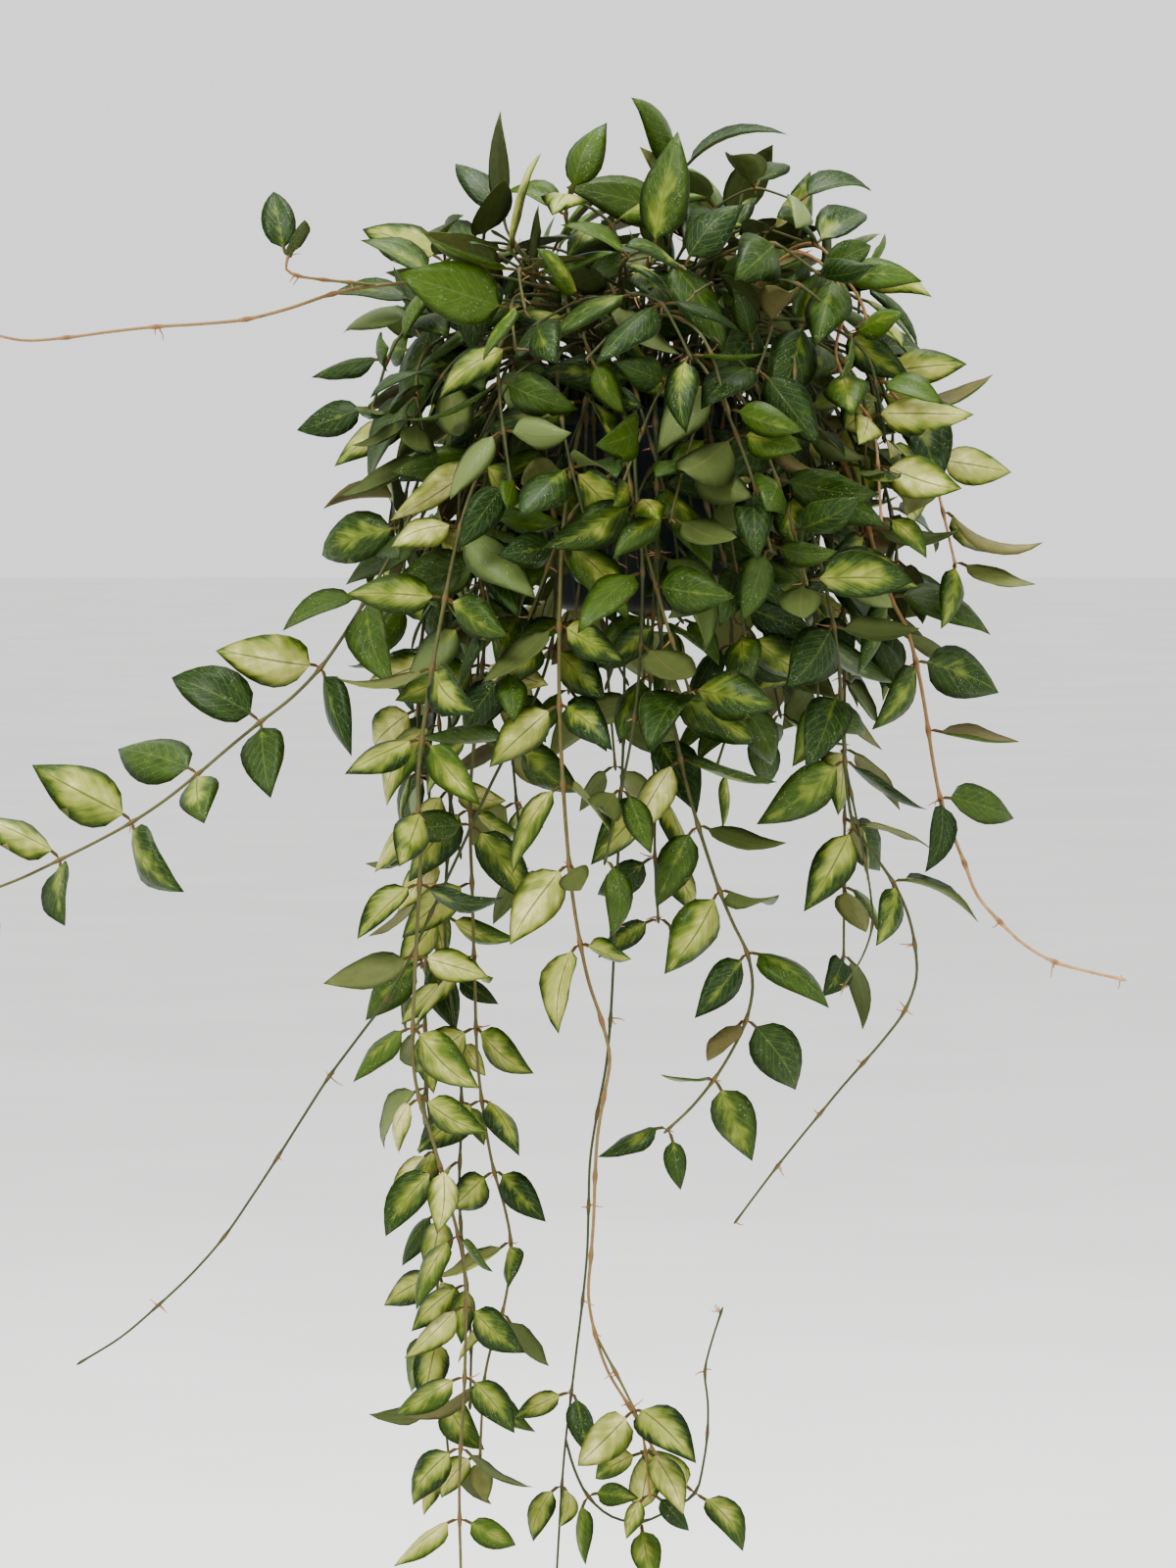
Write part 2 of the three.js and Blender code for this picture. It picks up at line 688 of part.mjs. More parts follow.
function turnRound(p, degrees) {
  const turn = degrees * Math.PI / 180;
  const c = Math.cos(turn);
  const s = Math.sin(turn);
  return [p[0] * c - p[1] * s, p[0] * s + p[1] * c, p[2]];
}

function growLeaf(vine, axis, i, hand, draw, taken) {
  if (draw(0, 1) < MISSING) {
    return;
  }
  for (let attempt = 0; attempt < LEAF_TRIES; attempt += 1) {
    const leaf = shapeLeaf(vine, axis, i, hand, attempt, draw);
    if (!keepsOffPot(leaf) || !standsClear(leaf)) {
      continue;
    }
    const boxes = leafBoxes(leaf);
    if (taken.some((other) => crosses(vine, leaf, boxes, other))) {
      continue;
    }
    vine.leaves.push(leaf);
    boxes.forEach((box, k) => taken.push({ vine, box, kind: k === 0 ? STALK : BLADE, node: leaf.node }));
    return;
  }
}

function toSolid(vertices, faces) {
  return new wasm.Manifold(new wasm.Mesh({
    numProp: 3,
    vertProperties: new Float32Array(vertices.flat()),
    triVerts: new Uint32Array(faces.flat()),
  }));
}

// Closed solid from rings of one count
function loftRings(rings) {
  const n = rings[0].length;
  const faces = [];
  for (let r = 0; r + 1 < rings.length; r += 1) {
    for (let k = 0; k < n; k += 1) {
      const a = r * n + k;
      const b = r * n + (k + 1) % n;
      faces.push([a, b, b + n], [a, b + n, a + n]);
    }
  }
  const last = (rings.length - 1) * n;
  for (let k = 1; k + 1 < n; k += 1) {
    faces.push([0, k + 1, k], [last, last + k, last + k + 1]);
  }
  return toSolid(rings.flat(), faces);
}

// Rings of a stem. A node has a leaf on one or both of the two faces beside its ridge, and then
// two rings with those faces between them; another node or bend has one.
function stemRings(axis, leaves) {
  const rings = [];
  let ridge = [1, 0, 0];
  const last = axis.points.length - 1;
  for (let i = 0; i <= last; i += 1) {
    const here = leaves.filter((leaf) => leaf.i === i);
    const way = tangentAt(axis, i);
    const bend = i > 0 && i < last ? dot(tangentAt(axis, i - 1), tangentAt(axis, i + 1)) : 0;
    const kept = i < 3 || i === last || axis.forks.includes(i) || (isNode(axis, i) && !axis.hidden);
    if (!here.length && !kept && bend > STRAIGHT) {
      continue;
    }
    ridge = unit(sub(ridge, mul(way, dot(ridge, way))));
    const lift = here.length ? acrossStem(axis, i).lift : ridge;
    const aside = cross(way, lift);
    const turns = [0, 1, 2].map((k) => turnVector(lift, aside, k));
    const closeness = turns.map((v) => dot(v, ridge));
    const shift = closeness.indexOf(Math.max(...closeness));
    ridge = turns[shift];
    const radius = stemRadius(axis, i);
    const offsets = here.length ? [-NODE_HALF, NODE_HALF] : [0];
    offsets.forEach((offset, which) => {
      const centre = add(axis.points[i], mul(way, offset));
      const ring = [0, 1, 2].map((k) => add(centre, mul(turnVector(lift, aside, k + shift), radius)));
      rings.push({ ring, leaves: which === 0 ? here : [], shift });
    });
  }
  const endWay = tangentAt(axis, last);
  const end = add(axis.points[last], mul(endWay, BUD_LENGTH));
  return { rings, end };
}

function turnVector(a, b, k) {
  const turn = TAU * k / STEM_SIDES;
  return add(mul(a, Math.cos(turn)), mul(b, Math.sin(turn)));
}

// Section of a blade: edge, upper midrib, edge, lower midrib
function leafSection(leaf, t) {
  return [
    bladePoint(leaf, t, EDGE_OUT, EDGE_SINK),
    bladePoint(leaf, t, 0, 0),
    bladePoint(leaf, t, -EDGE_OUT, EDGE_SINK),
    bladePoint(leaf, t, 0, BLADE_THICK),
  ];
}

// A stem and its leaves as one skin: a leaf starts at the stem face that it stands on
function stemWithLeaves(axis, leaves) {
  const vertices = [];
  const faces = [];
  const put = (p) => vertices.push(p) - 1;
  const { rings, end } = stemRings(axis, leaves);
  const ids = rings.map(({ ring }) => ring.map(put));
  faces.push([ids[0][0], ids[0][2], ids[0][1]]);
  for (let r = 0; r + 1 < rings.length; r += 1) {
    for (let k = 0; k < STEM_SIDES; k += 1) {
      const next = (k + 1) % STEM_SIDES;
      const corners = [ids[r][k], ids[r][next], ids[r + 1][next], ids[r + 1][k]];
      const face = (k + rings[r].shift) % STEM_SIDES;
      const hand = face === 0 ? 1 : -1;
      const leaf = face === 1 ? undefined : rings[r].leaves.find((one) => one.hand === hand);
      if (leaf) {
        growSkin(leaf, corners, vertices, faces, put);
      } else {
        faces.push(...splitShort(...corners, vertices));
      }
    }
  }
  const tip = put(end);
  const top = ids[ids.length - 1];
  for (let k = 0; k < STEM_SIDES; k += 1) {
    faces.push([top[k], top[(k + 1) % STEM_SIDES], tip]);
  }
  return toSolid(vertices, faces);
}

// Four corners in turn, split along the shorter diagonal
function splitShort(a, b, c, d, vertices) {
  const straight = size(sub(vertices[a], vertices[c])) <= size(sub(vertices[b], vertices[d]));
  return straight ? [[a, b, c], [a, c, d]] : [[a, b, d], [b, c, d]];
}

function growSkin(leaf, corners, vertices, faces, put) {
  let from = corners;
  [FIRST_SECTION, SECOND_SECTION].forEach((t, layer) => {
    const to = bestStart(leafSection(leaf, t), from, vertices).map(put);
    for (let k = 0; k < 4; k += 1) {
      const next = (k + 1) % 4;
      if (layer === 0) {
        faces.push(...splitShort(from[k], from[next], to[next], to[k], vertices));
      } else if (k % 2 === 1) {
        faces.push([from[k], from[next], to[k]], [from[next], to[next], to[k]]);
      } else {
        faces.push([from[k], from[next], to[next]], [from[k], to[next], to[k]]);
      }
    }
    from = to;
  });
  const tip = put(bladePoint(leaf, 1, 0, BLADE_THICK / 2));
  for (let k = 0; k < 4; k += 1) {
    faces.push([from[k], from[(k + 1) % 4], tip]);
  }
}

// The same section, started at the corner that lies nearest to the one it joins
function bestStart(section, from, vertices) {
  let best = section;
  let least = Infinity;
  for (let turn = 0; turn < 4; turn += 1) {
    const turned = section.map((unused, k) => section[(k + turn) % 4]);
    const far = turned.reduce((total, p, k) => total + size(sub(p, vertices[from[k]])), 0);
    if (far < least) {
      least = far;
      best = turned;
    }
  }
  return best;
}

function vineSolid(vine) {
  const parts = vine.axes.map((axis) => stemWithLeaves(
    axis,
    vine.leaves.filter((leaf) => leaf.axis === axis),
  ));
  return parts.reduce((whole, part) => whole.add(part));
}

// Pot: a lathed wall whose rows of vertices alternate in radius to make the flutes
function ringAt(radius, z, flute, count) {
  const ring = [];
  for (let k = 0; k < count; k += 1) {
    const turn = TAU * k / count;
    const r = radius - (k % 2 === 0 ? 0 : flute);
    ring.push([r * Math.cos(turn), r * Math.sin(turn), z]);
  }
  return ring;
}

function profileSolid(rows, count) {
  const rings = rows.map(([radius, z, flute]) => ringAt(radius, z, flute, count));
  const vertices = rings.flat();
  const faces = [];
  for (let r = 0; r + 1 < rings.length; r += 1) {
    for (let k = 0; k < count; k += 1) {
      const a = r * count + k;
      const b = r * count + (k + 1) % count;
      faces.push([a, b, b + count], [a, b + count, a + count]);
    }
  }
  const bottom = vertices.length;
  vertices.push([0, 0, rows[0][1]]);
  const top = vertices.length;
  vertices.push([0, 0, rows[rows.length - 1][1]]);
  const last = (rings.length - 1) * count;
  for (let k = 0; k < count; k += 1) {
    const next = (k + 1) % count;
    faces.push([bottom, next, k], [top, last + k, last + next]);
  }
  return toSolid(vertices, faces);
}

const wallRadius = (z) => POT_RIM_RADIUS + (POT_BASE_RADIUS - POT_RIM_RADIUS) * (-z / POT_HEIGHT);

function cylinderSolid(radius, low, high, sides, x, y) {
  const ring = (z) => Array.from({ length: sides }, (unused, k) => {
    const turn = TAU * (k + 0.5) / sides;
    return [x + radius * Math.cos(turn), y + radius * Math.sin(turn), z];
  });
  return loftRings([ring(low), ring(high)]);
}

function lugSolid(degrees) {
  const out = polar(1, degrees, 0);
  const across = polar(1, degrees + 90, 0);
  const at = (r, w, z) => add(add(mul(out, r), mul(across, w)), [0, 0, z]);
  const half = LUG_WIDTH / 2;
  const plate = (z) => [
    at(LUG_ROOT, -half, z),
    at(EYELET_AT + 1, -half, z),
    at(LUG_REACH, -half * 0.45, z),
    at(LUG_REACH, half * 0.45, z),
    at(EYELET_AT + 1, half, z),
    at(LUG_ROOT, half, z),
  ];
  const lug = loftRings([plate(LUG_TOP - LUG_THICKNESS), plate(LUG_TOP)]);
  const eye = at(EYELET_AT, 0, 0);
  const under = LUG_TOP - LUG_THICKNESS - 1;
  return lug.subtract(cylinderSolid(EYELET_RADIUS, under, LUG_TOP + 1, 8, eye[0], eye[1]));
}

function potSolid() {
  const count = POT_FLUTES * 2;
  const under = -RIM_HEIGHT;
  const outer = profileSolid([
    [POT_BASE_RADIUS, -POT_HEIGHT, 0],
    [wallRadius(-POT_HEIGHT + FOOT_HEIGHT), -POT_HEIGHT + FOOT_HEIGHT, 0],
    [wallRadius(-POT_HEIGHT + FOOT_HEIGHT + 2), -POT_HEIGHT + FOOT_HEIGHT + 2, FLUTE_DEPTH],
    [wallRadius(under), under, FLUTE_DEPTH],
    [POT_RIM_RADIUS + RIM_PROUD, under + 2, 0],
    [POT_RIM_RADIUS + RIM_PROUD, 0, 0],
  ], count);
  const inner = profileSolid([
    [wallRadius(-POT_HEIGHT) - POT_WALL - FLUTE_DEPTH, -POT_HEIGHT + POT_FLOOR, 0],
    [wallRadius(0) - POT_WALL - FLUTE_DEPTH + 1, 1, 0],
  ], count);
  let pot = outer;
  LUG_ANGLES.forEach((degrees) => {
    pot = pot.add(lugSolid(degrees));
  });
  pot = pot.subtract(inner);
  for (let i = 0; i < DRAIN_HOLES; i += 1) {
    const at = polar(DRAIN_CIRCLE, 45 + 360 * i / DRAIN_HOLES, 0);
    const above = -POT_HEIGHT + POT_FLOOR + 1;
    pot = pot.subtract(cylinderSolid(DRAIN_RADIUS, -POT_HEIGHT - 1, above, 8, at[0], at[1]));
  }
  return pot;
}

function mediumSolid(vines) {
  const inset = POT_WALL + FLUTE_DEPTH + SEAT_GAP + 0.15;
  let medium = profileSolid([
    [wallRadius(-POT_HEIGHT) - inset, -POT_HEIGHT + POT_FLOOR + SEAT_GAP, 0],
    [wallRadius(MEDIUM_TOP) - inset, MEDIUM_TOP, 0],
    [wallRadius(MEDIUM_TOP) - inset - 22, MEDIUM_TOP + MEDIUM_CROWN, 0],
  ], 20);
  for (const vine of vines) {
    const foot = vine.axes[0].points[0];
    const room = SEAT_GAP / Math.cos(Math.PI / STEM_SIDES);
    const radius = stemRadius(vine.axes[0], 0) + room;
    const ring = (z) => Array.from({ length: STEM_SIDES }, (unused, k) => {
      const turn = TAU * k / STEM_SIDES;
      return [foot[0] + radius * Math.cos(turn), foot[1] + radius * Math.sin(turn), z];
    });
    medium = medium.subtract(loftRings([ring(foot[2] - SEAT_GAP), ring(MEDIUM_TOP + MEDIUM_CROWN + 2)]));
  }
  return medium;
}

// Solids to named meshes
function toMesh(name, solid, material) {
  const made = solid.getMesh();
  const geometry = new THREE.BufferGeometry();
  const positions = new Float32Array(made.numVert * 3);
  for (let i = 0; i < made.numVert; i += 1) {
    for (let k = 0; k < 3; k += 1) {
      positions[i * 3 + k] = made.vertProperties[i * made.numProp + k];
    }
  }
  geometry.setAttribute('position', new THREE.BufferAttribute(positions, 3));
  geometry.setIndex(new THREE.BufferAttribute(new Uint32Array(made.triVerts), 1));
  geometry.computeVertexNormals();
  const mesh = new THREE.Mesh(geometry, material);
  mesh.name = name;
  return mesh;
}

const finish = (color, roughness) => new THREE.MeshStandardMaterial({ color, roughness, metalness: 0 });
const POT_PLASTIC = finish(0x23282c, 0.45);
const MEDIUM_FIBRE = finish(0x5a4330, 0.95);
const LEAF_GREEN = finish(0x3f5c2c, 0.4);
const LEAF_YELLOW_GREEN = finish(0x97a04a, 0.4);
const LEAF_CREAM = finish(0xb0ad62, 0.42);

function leafFinish(vine) {
  if (vine.light < 0.45) {
    return LEAF_GREEN;
  }
  return vine.light < 0.72 ? LEAF_YELLOW_GREEN : LEAF_CREAM;
}

const group = new THREE.Group();
const plant = growPlant();
group.add(toMesh('pot', potSolid(), POT_PLASTIC));
group.add(toMesh('growing_medium', mediumSolid(plant), MEDIUM_FIBRE));
plant.forEach((vine) => group.add(toMesh(vine.name, vineSolid(vine), leafFinish(vine))));

export default group;
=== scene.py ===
import math

import bmesh
import bpy
import numpy as np
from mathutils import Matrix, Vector, noise


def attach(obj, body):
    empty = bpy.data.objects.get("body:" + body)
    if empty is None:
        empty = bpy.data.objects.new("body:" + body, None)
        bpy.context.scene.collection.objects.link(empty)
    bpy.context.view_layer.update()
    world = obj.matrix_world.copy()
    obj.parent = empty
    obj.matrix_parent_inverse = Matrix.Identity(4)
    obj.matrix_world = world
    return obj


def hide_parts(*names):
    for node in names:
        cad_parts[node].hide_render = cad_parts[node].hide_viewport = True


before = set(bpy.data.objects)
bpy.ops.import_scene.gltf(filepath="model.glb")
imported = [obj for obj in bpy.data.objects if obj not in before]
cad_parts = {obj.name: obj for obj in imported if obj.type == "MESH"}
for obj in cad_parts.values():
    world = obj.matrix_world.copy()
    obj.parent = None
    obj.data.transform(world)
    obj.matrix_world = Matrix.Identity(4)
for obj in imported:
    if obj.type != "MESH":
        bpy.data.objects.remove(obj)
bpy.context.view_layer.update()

# Vine stems. Wire-thin, woody stems of a climbing hoya, from green near the growing tips to tan where
# they are old. Each is rooted in the pot, climbs over its rim and hangs free, and swells at its nodes,
# where a pair of leaves and a few short aerial roots grow. Millimetres here; metres in the meshes.
# girth: stem radius at foot and tip; gap: distance between nodes; leafy: the share of the stem that
# carries leaves; leaf: blade length at foot and tip; light: share of yellow.
POT_RIM_RADIUS = 65
POT_BASE_RADIUS = 47
POT_HEIGHT = 115
RIM_HEIGHT = 12
LUG_REACH = 74
MEDIUM_TOP = -14
MEDIUM_CROWN = 4
STEM_DEPTH = 16
STEM_FROM_RIM = 9
NODE_SWELL = 1.3
BUD_LENGTH = 3
MOUND_WIDE = 152
MOUND_DEEP = 138
MOUND_HIGH = 112
SKIRT_DROP = 118
SKIRT_FROM = 90
SKIRT_TO = 128
GOLDEN_TURN = 137.50776405
CROWN_SHOOTS = 22
SKIRT_VINES = 9
NAMED_VINES = [
    {"name": "left_bare_whip", "rim": 172, "root": 40, "girth": (1.9, 1.3), "gap": 52,
     "leafy": (0.95, 1), "leaf": (44, 36), "light": 0.35,
     "route": [(-100, -14, 62), (-129, -18, 69), (-168, -20, 65), (-220, -24, 49.5),
                (-283, -26, 44), (-344, -30, 37), (-374, -32, 43)],
     "branches": [{"from": 0.46, "girth": (1.4, 1.1), "gap": 16, "leafy": (0.9, 1),
                   "route": [(-196, -30, 74), (-199, -34, 84)]}]},
    {"name": "left_spreading_vine", "rim": 196, "root": 46, "girth": (2, 1.3), "gap": 46,
     "leafy": (0.3, 1), "leaf": (58, 54), "light": 0.5,
     "route": [(-112, -42, -30), (-150, -52, -100), (-184, -58, -151), (-223, -62, -184),
                (-278, -66, -228), (-341, -68, -261), (-368, -70, -272)],
     "branches": []},
    {"name": "left_column_vine", "rim": 224, "root": 47, "girth": (2.1, 1.3), "gap": 40,
     "leafy": (0.14, 1), "leaf": (60, 37), "light": 0.75,
     "route": [(-92, -94, -40), (-112, -110, -120), (-124, -116, -201), (-123, -118, -250),
                (-126.5, -118, -322), (-126.5, -116, -371), (-115.5, -114, -410),
                (-107, -112, -443), (-99, -110, -481), (-99, -108, -542), (-102, -106, -597),
                (-101, -105, -660)],
     "branches": []},
    {"name": "long_thin_whip", "rim": 236, "root": 30, "girth": (1.8, 1), "gap": 54,
     "leafy": (0.12, 0.5), "leaf": (52, 42), "light": 0.4,
     "route": [(-48, -78, -60), (-52, -82, -140), (-85, -82, -212), (-118, -78, -283),
                (-140, -74, -327), (-170.5, -70, -368.5), (-186, -68, -392), (-218, -66, -442),
                (-246, -64, -480), (-290, -62, -521), (-316, -60, -538)],
     "branches": []},
    {"name": "vine_beside_column", "rim": 210, "root": 40, "girth": (1.9, 1.2), "gap": 41,
     "leafy": (0.3, 1), "leaf": (56, 38), "light": 0.85,
     "route": [(-92, -56, -60), (-88, -62, -124), (-96, -64, -212), (-95, -66, -278),
                (-93.5, -66, -333), (-92, -66, -371), (-85, -66, -421), (-74, -66, -465),
                (-77, -66, -503), (-88, -66, -542), (-91, -66, -590)],
     "branches": []},
    {"name": "centre_tan_vine", "rim": 248, "root": 47, "girth": (2.1, 1.3), "gap": 44,
     "leafy": (0.12, 0.62), "leaf": (62, 32), "light": 0.7,
     "route": [(-42, -104, -50), (-46, -118, -120), (-45, -124, -190), (-38.5, -126, -272),
                (-27.5, -126, -327), (-18, -125, -355), (-25, -124, -404), (-27.5, -124, -459),
                (-30, -124, -492), (-22, -124, -528), (-8, -124, -553), (14, -124, -592)],
     "branches": [{"from": 0.88, "girth": (1.3, 1), "gap": 24, "leafy": (0.3, 1),
                   "route": [(-2, -132, -562), (4, -134, -602)]}]},
    {"name": "thin_dark_vine", "rim": 259, "root": 34, "girth": (1.6, 1), "gap": 52,
     "leafy": (0.84, 1), "leaf": (40, 36), "light": 0.9,
     "route": [(-16, -88, -60), (-10, -92, -150), (-14, -92, -260), (-19, -92, -357.5),
                (-28.6, -92, -415), (-31, -92, -476), (-38.5, -92, -542), (-44, -92, -591),
                (-48, -92, -656)],
     "branches": [{"from": 0.88, "girth": (1.3, 0.9), "gap": 36, "leafy": (0.1, 0.62),
                   "route": [(-32, -98, -606), (-8, -102, -622.6), (19, -104, -613),
                              (31, -104, -602), (37, -104, -564), (35, -104, -536),
                              (44, -104, -504)]}]},
    {"name": "centre_vine", "rim": 275, "root": 47, "girth": (2.2, 1.3), "gap": 38,
     "leafy": (0.1, 1), "leaf": (64, 42), "light": 0.5,
     "route": [(8, -98, -40), (9, -112, -110), (14, -116, -157), (25, -118, -212),
                (44, -116, -272), (60, -112, -310), (57, -110, -342), (36, -108, -379),
                (14, -106, -402)],
     "branches": [{"from": 0.3, "girth": (1.6, 1.1), "gap": 34, "leafy": (0.2, 1),
                   "route": [(4, -98, -168), (7, -88, -210), (7, -84, -250), (9, -82, -286)]}]},
    {"name": "lower_right_vine", "rim": 318, "root": 47, "girth": (2.1, 1), "gap": 38,
     "leafy": (0.16, 0.66), "leaf": (58, 44), "light": 0.55,
     "route": [(84, -84, -40), (106, -92, -120), (113, -94, -201), (118, -94, -234),
                (137.5, -92, -261), (151, -90, -294), (148.5, -90, -333), (107, -90, -385),
                (77, -90, -422), (53, -90, -454)],
     "branches": [{"from": 0.5, "girth": (1.2, 0.9), "gap": 36, "leafy": (1.1, 1.2),
                   "route": [(128, -98, -285), (112, -100, -322)]}]},
    {"name": "right_peach_vine", "rim": 340, "root": 47, "girth": (2.1, 1.4), "gap": 40,
     "leafy": (0.2, 0.74), "leaf": (60, 44), "light": 0.5,
     "route": [(112, -44, -30), (137.5, -50, -102), (148.5, -52, -124), (157, -52, -157),
                (165, -50, -206), (170.5, -48, -228), (181.5, -48, -256), (187.5, -48, -273),
                (212, -46, -300), (234, -44, -313.5), (271, -42, -323)],
     "branches": []},
    {"name": "right_edge_stem_front", "rim": 332, "root": 26, "girth": (1.9, 1.2), "gap": 28,
     "leafy": (0.42, 1), "leaf": (56, 52), "light": 0.7,
     "route": [(80, -50, 84), (112, -62, 63), (108, -68, 30), (118, -74, 5), (129, -80, -14),
                (133, -84, -62)],
     "branches": []},
    {"name": "right_edge_stem_outer", "rim": 352, "root": 28, "girth": (1.9, 1.2), "gap": 29,
     "leafy": (0.36, 1), "leaf": (58, 52), "light": 0.75,
     "route": [(86, -16, 90), (118, -30, 68), (130, -42, 36), (137, -46, 11), (156, -48, -8),
                (165, -48, -42), (176, -46, -88)],
     "branches": []},
    {"name": "top_shoot", "rim": 300, "root": 8, "girth": (2, 1.4), "gap": 26,
     "leafy": (0.4, 1), "leaf": (60, 56), "light": 0.2,
     "route": [(9, -8, 40), (14, -12, 82), (20, -14, 112), (21, -14, 134)],
     "branches": [{"from": 0.6, "girth": (1.5, 1.1), "gap": 26, "leafy": (0.3, 1),
                   "route": [(34, -24, 104), (62, -36, 122), (88, -44, 114)]}]},
    {"name": "green_shoot", "rim": 262, "root": 20, "girth": (2.1, 1.4), "gap": 28,
     "leafy": (0.36, 1), "leaf": (62, 58), "light": 0.3,
     "route": [(2, -30, 24), (0, -36, 47), (-10, -44, 80), (-19, -48, 104), (-40, -56, 116)],
     "branches": []},
    {"name": "upright_striped_shoot", "rim": 205, "root": 22, "girth": (2, 1.4), "gap": 28,
     "leafy": (0.36, 1), "leaf": (64, 80), "light": 0.6,
     "route": [(-38, -20, 36), (-58, -30, 66), (-74, -38, 88)],
     "branches": []},
]
OLD_BARK = {
    "left_bare_whip": 0.8, "left_spreading_vine": 0.35, "left_column_vine": 0.45, "long_thin_whip": 0.1,
    "vine_beside_column": 0.45, "centre_tan_vine": 0.65, "thin_dark_vine": 0, "centre_vine": 0.25,
    "lower_right_vine": 0.2, "right_peach_vine": 1.0, "right_edge_stem_front": 1.0,
    "right_edge_stem_outer": 0.95, "top_shoot": 0.2, "green_shoot": 0.15, "upright_striped_shoot": 0.3,
}


def make_draws(seed):
    """A row of draws that comes out the same on every run."""
    state = seed

    def draw(low, high):
        nonlocal state
        state = (state * 1664525 + 1013904223) % 4294967296
        return low + (high - low) * (state / 4294967296)

    return draw


def vec(*xyz):
    return np.array(xyz, float)


def size(v):
    return math.sqrt(v[0] * v[0] + v[1] * v[1] + v[2] * v[2])


def unit(v):
    return v / size(v)


def cross(a, b):
    return vec(a[1] * b[2] - a[2] * b[1], a[2] * b[0] - a[0] * b[2], a[0] * b[1] - a[1] * b[0])


def polar(radius, degrees, z):
    turn = math.radians(degrees)
    return vec(radius * math.cos(turn), radius * math.sin(turn), z)


def spline_point(points, span, k):
    """A smooth route through the points, at a share k of one span."""
    last = len(points) - 1
    p1, p2 = points[span], points[span + 1]
    p0 = points[span - 1] if span > 0 else p1 * 2 - p2
    p3 = points[span + 2] if span + 2 <= last else p2 * 2 - p1
    k2 = k * k
    k3 = k2 * k
    return (p0 * (-0.5 * k3 + k2 - 0.5 * k) + p1 * (1.5 * k3 - 2.5 * k2 + 1)
            + p2 * (-1.5 * k3 + 2 * k2 + 0.5 * k) + p3 * (0.5 * k3 - 0.5 * k2))


def walk_route(points, step):
    """The route walked in equal steps."""
    fine = [points[0]]
    for span in range(len(points) - 1):
        for i in range(1, 13):
            fine.append(spline_point(points, span, i / 12))
    pieces = [size(b - a) for a, b in zip(fine, fine[1:])]
    length = 0
    for piece in pieces:
        length += piece
    count = max(2, math.floor(length / step + 0.5))
    stride = length / count
    walked = [points[0]]
    gone = 0
    for a, b, piece in zip(fine, fine[1:], pieces):
        while len(walked) < count and gone + piece >= stride * len(walked):
            k = (stride * len(walked) - gone) / piece
            walked.append(a * (1 - k) + b * k)
        gone += piece
    walked.append(fine[-1])
    return walked


def mound_point(fall, turn, scale):
    """The shell of the mound, at an angle down from its top and a turn round the pot."""
    rounded = math.radians(min(fall, SKIRT_FROM))
    out = math.sin(rounded) ** 0.75 * scale
    around = math.radians(turn)
    below = max(0, fall - SKIRT_FROM) / (SKIRT_TO - SKIRT_FROM)
    high = max(0, math.cos(rounded)) ** 0.75 * scale
    z = MOUND_HIGH * high if fall < SKIRT_FROM else -SKIRT_DROP * below * scale
    return vec(MOUND_WIDE * out * math.cos(around), MOUND_DEEP * out * math.sin(around), z)


def crown_vines(name, seed, count, first_turn, shell):
    """Short shoots that make the mound, spread by the golden turn, each with one side branch."""
    draw = make_draws(seed)
    vines = []
    lowest = 1 - math.cos(math.radians(SKIRT_TO))
    for i in range(count):
        share = (i + 0.7) / count
        fall = math.degrees(math.acos(1 - lowest * share))
        turn = (i * GOLDEN_TURN + first_turn) % 360
        swing = 13 / max(0.45, math.sin(math.radians(fall)))
        root = 9 + 36 * math.sqrt(share) + draw(-2, 2)
        lift = 0.5 if fall > 70 else 0.62
        vine = {"name": f"{name}_{i + 1:02d}", "rim": turn, "root": root, "girth": (2.0, 1.3),
                "gap": draw(28, 33), "leafy": (0.4, 1), "leaf": (64, 54), "light": draw(0, 1)}
        vine["route"] = [mound_point(fall * 0.62, turn, lift * shell),
                         mound_point(fall * 0.84, turn + swing * 0.3, 0.82 * shell),
                         mound_point(fall + 2, turn + swing * 0.8, draw(0.93, 1.0) * shell),
                         mound_point(fall + 17, turn + swing * 1.2, draw(0.95, 1.03) * shell)]
        side = {"from": 0.46, "gap": draw(28, 33), "leafy": (0.2, 1), "girth": (1.6, 1.2)}
        side["route"] = [mound_point(fall * 0.9, turn - swing * 0.7, 0.84 * shell),
                         mound_point(fall + 6, turn - swing * 1.3, draw(0.9, 0.98) * shell)]
        vine["branches"] = [side]
        vines.append(vine)
    return vines


def skirt_vines(name, seed, count, first_turn, wide, drop):
    """Short vines that hang evenly round the pot between the named ones."""
    draw = make_draws(seed)
    vines = []
    for i in range(count):
        turn = first_turn + 360 * i / count + draw(-5, 5)
        out = draw(*wide)
        length = draw(*drop)
        vine = {"name": f"{name}_{i + 1:02d}", "rim": turn, "root": 39, "girth": (2.0, 1.2),
                "gap": draw(37, 42), "leafy": (0.16, 1), "leaf": (62, 46), "light": draw(0.25, 0.9)}
        vine["route"] = [polar(out * 0.86, turn, -34), polar(out, turn + 2, -90),
                         polar(out + 3, turn + draw(-5, 5), -90 - (length - 90) * 0.5),
                         polar(out + draw(-6, 6), turn + draw(-7, 7), -length)]
        vine["branches"] = []
        vines.append(vine)
    return vines


